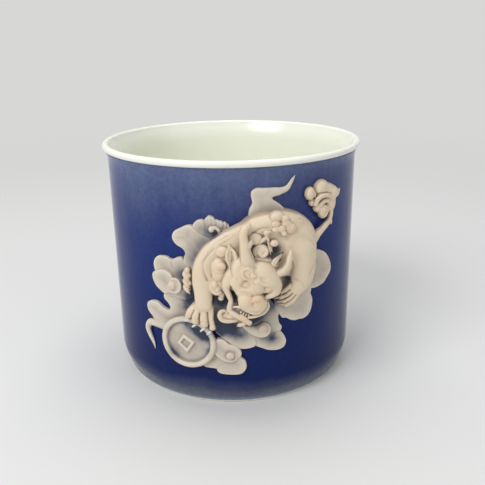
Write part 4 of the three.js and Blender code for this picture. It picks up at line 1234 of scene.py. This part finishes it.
def cobalt_glaze():
    paint = Paint("cobalt_glaze")
    runs = paint.scaled(paint.noise(130, 4.0, 0.6, 0.2), 0.2, -0.10)
    streaks = paint.math("MULTIPLY", runs, paint.height_share(5, 30))
    clouds = paint.scaled(paint.noise(60), 0.06, -0.03)
    # Paler in the lowest 8 mm, at the foot turn: partly the glaze running thin and partly a painted
    # reflection of the floor
    deep = paint.ramp(paint.total(paint.height_share(0, CUP_HEIGHT), streaks, clouds), [
        (0.03, (0.15, 0.16, 0.21)), (0.075, (0.055, 0.065, 0.14)), (0.12, (0.006, 0.016, 0.10)),
        (0.30, (0.006, 0.018, 0.12)), (0.50, (0.010, 0.026, 0.155)), (0.70, (0.018, 0.038, 0.18)),
        (0.81, (0.046, 0.066, 0.200)), (0.90, (0.085, 0.112, 0.245)), (0.985, (0.130, 0.170, 0.32)),
    ])
    thin = paint.scaled(paint.height_share(0.6, 2.0), -1.0, 1.0, clamp=True)
    glaze = paint.mix(thin, deep, (0.25, 0.33, 0.45))
    specks = paint.ramp(paint.noise(900, 5.0, 0.7), [
        (0.35, (0.85, 0.85, 0.85)), (0.65, (1.12, 1.12, 1.12)),
    ])
    paint.color(paint.mix(1.0, glaze, specks, "MULTIPLY"))
    paint.shader.inputs["Roughness"].default_value = 0.1
    paint.shader.inputs["Specular IOR Level"].default_value = 0.13
    paint.bump(paint.noise(160), 0.08, 0.0006)
    return paint.material


def white_porcelain():
    paint = Paint("white_porcelain")
    inside = paint.ramp(paint.noise(40), [(0.3, (0.91, 0.93, 0.81)), (0.7, (0.93, 0.945, 0.84))])
    paint.color(paint.mix(paint.height_share(CUP_HEIGHT - 3, CUP_HEIGHT - 1), inside, (0.95, 0.955, 0.86)))
    paint.shader.inputs["Roughness"].default_value = 0.2
    paint.bump(paint.noise(160), 0.06, 0.0005)
    return paint.material


def bare_foot():
    paint = Paint("bare_foot")
    paint.color(paint.ramp(paint.noise(700, 5.0), [(0.3, (0.68, 0.66, 0.60)), (0.7, (0.80, 0.78, 0.72))]))
    paint.shader.inputs["Roughness"].default_value = 0.8
    paint.bump(paint.noise(2600, 4.0), 0.3, 0.0002)
    return paint.material


# The cup
def rounded(centre, radius, start, stop, steps):
    angles = np.radians(np.linspace(start, stop, steps + 1))
    return [(centre[0] + radius * math.cos(a), centre[1] + radius * math.sin(a)) for a in angles]


def outside(steps, low, high):
    line = []
    for z in np.linspace(low, high, steps):
        turn = min(max((z - FOOT_RING_HEIGHT) / (FOOT_TURN_HEIGHT - FOOT_RING_HEIGHT), 0), 1)
        radius = FOOT_RADIUS + (WALL_RADIUS - FOOT_RADIUS) * math.sin(turn * math.pi / 2)
        flare = max(z - LIP_FLARE_START, 0) / LIP_FLARE_HEIGHT
        line.append((radius + LIP_FLARE * flare**LIP_FLARE_POWER, z))
    return line


def glaze_coat(materials):
    coat = outside(COAT_STEPS, GLAZE_START, GLAZE_END)
    inset = [(r - COAT_DEPTH, z) for r, z in coat]
    made = turned("cobalt_glaze", [*coat, *reversed(inset), coat[0]])
    finished(made, materials["cobalt_glaze"], "cobalt_glaze", "cobalt_glaze_coat")


def cup_wall(materials):
    inner = WALL_RADIUS - WALL_THICKNESS
    recess_radius = FOOT_RADIUS - FOOT_RING_WIDTH - RECESS_EDGE
    recess = [(NEAR_AXIS, FOOT_RING_HEIGHT), (recess_radius, FOOT_RING_HEIGHT)]
    line = outside(WALL_STEPS, FOOT_RING_HEIGHT, GLAZE_END - WALL_BELOW_COAT)
    under = [(r - WALL_BELOW_COAT, z) for r, z in line]
    lip_centre = (RIM_RADIUS - LIP_ROUNDING, CUP_HEIGHT - LIP_ROUNDING)
    lip = rounded(lip_centre, LIP_ROUNDING, LIP_ROUNDING_START, 180, ROUNDING_STEPS)
    lip_inside = [(inner + out, CUP_HEIGHT - down) for out, down in LIP_INSIDE]
    corner_centre = (inner - INNER_CORNER_RADIUS, FLOOR_HEIGHT + INNER_CORNER_RADIUS)
    corner = rounded(corner_centre, INNER_CORNER_RADIUS, 0, -90, ROUNDING_STEPS)
    profile = [*recess, *under, *lip, *lip_inside, *corner, (NEAR_AXIS, FLOOR_HEIGHT)]
    made = turned("porcelain_wall", profile)
    finished(made, materials["white_porcelain"], "white_porcelain", "cup_body")


def foot_ring(materials):
    inner = FOOT_RADIUS - FOOT_RING_WIDTH
    root = (inner - FOOT_RING_ROOT, FOOT_RING_HEIGHT)
    inner_centre = (inner + FOOT_INNER_INSET, FOOT_INNER_ROUNDING)
    inner_edge = rounded(inner_centre, FOOT_INNER_ROUNDING, 200, 270, 5)
    outer_centre = (FOOT_RADIUS - FOOT_OUTER_INSET, FOOT_OUTER_ROUNDING)
    outer_edge = rounded(outer_centre, FOOT_OUTER_ROUNDING, -90, 0, 6)
    top = (FOOT_RADIUS - FOOT_TOP_INSET, FOOT_RING_HEIGHT)
    made = turned("foot_ring_turned", [root, *inner_edge, *outer_edge, top, root])
    finished(made, materials["bare_foot"], "bare_foot", "foot_ring")


# The stage: a pale floor that fades into a plain pale backdrop, which mirrors show too
def stage():
    corners = [(-FLOOR_REACH, -FLOOR_REACH, 0), (FLOOR_REACH, -FLOOR_REACH, 0),
               (FLOOR_REACH, FLOOR_REACH, 0), (-FLOOR_REACH, FLOOR_REACH, 0)]
    mesh = bpy.data.meshes.new("floor")
    mesh.from_pydata(corners, [], [(0, 1, 2, 3)])
    floor = bpy.data.objects.new("floor", mesh)
    bpy.context.scene.collection.objects.link(floor)
    paint = Paint("floor")
    paint.color(FLOOR_COLOR)
    paint.shader.inputs["Roughness"].default_value = 0.6
    away = paint.new("ShaderNodeVectorMath", {0: paint.place()}, operation="LENGTH").outputs["Value"]
    span = {"From Min": FADE_START, "From Max": FADE_END, "Value": away}
    fade = paint.new("ShaderNodeMapRange", span, interpolation_type="SMOOTHSTEP").outputs["Result"]
    share = paint.math("MULTIPLY", fade, paint.seen_share())
    backdrop = paint.new("ShaderNodeEmission", {"Color": BACKDROP_COLOR}).outputs[0]
    blend = paint.new("ShaderNodeMixShader", {0: share, 1: paint.shader.outputs[0], 2: backdrop})
    paint.put(paint.tree.nodes["Material Output"].inputs["Surface"], blend.outputs[0])
    mesh.materials.append(paint.material)


def area_light(name, place, size, power):
    data = bpy.data.lights.new(name, "AREA")
    data.shape = "RECTANGLE"
    data.size, data.size_y = size
    data.energy = power
    made = bpy.data.objects.new(name, data)
    made.location = place
    direction = Vector(LIGHT_TARGET) - Vector(place)
    made.rotation_euler = direction.to_track_quat("-Z", "Y").to_euler()
    bpy.context.scene.collection.objects.link(made)


def lights():
    for name, (place, size, power) in LIGHTS.items():
        area_light(name, place, size, power)
    world = bpy.data.worlds.new("world")
    world.use_nodes = True
    nodes = Nodes(world.node_tree)
    ambient = tuple(AMBIENT * c for c in AMBIENT_TINT)
    color = nodes.mix(nodes.seen_share(), ambient, BACKDROP_COLOR)
    nodes.put(world.node_tree.nodes["Background"].inputs["Color"], color)
    bpy.context.scene.world = world


def camera():
    data = bpy.data.cameras.new("camera")
    data.lens = CAMERA_LENS
    data.sensor_width = SENSOR_WIDTH
    data.clip_start = CLIP_START
    made = bpy.data.objects.new("camera", data)
    bpy.context.scene.collection.objects.link(made)
    cp, sp = math.cos(CAMERA_PITCH), math.sin(CAMERA_PITCH)
    cy, sy = math.cos(CAMERA_YAW), math.sin(CAMERA_YAW)
    right = Vector((cy, sy, 0))
    forward = Vector((-sy * cp, cy * cp, -sp))
    up = Vector((-sy * sp, cy * sp, cp))
    cr, sr = math.cos(CAMERA_ROLL), math.sin(CAMERA_ROLL)
    across = cr * right - sr * up
    upward = sr * right + cr * up
    turn = Matrix((across, upward, -forward)).transposed()
    place = (0, AXIS_Y * MM - CAMERA_DISTANCE, CAMERA_HEIGHT)
    made.matrix_world = Matrix.Translation(place) @ turn.to_4x4()
    bpy.context.scene.camera = made


def main():
    camera()
    lights()
    stage()
    makers = (cloud_clay, beast_clay, white_slip, cobalt_glaze, white_porcelain, bare_foot)
    materials = {maker.__name__: maker() for maker in makers}
    glaze_coat(materials)
    cup_wall(materials)
    foot_ring(materials)
    relief(materials)
    bpy.context.scene.view_settings.view_transform = "Standard"


main()
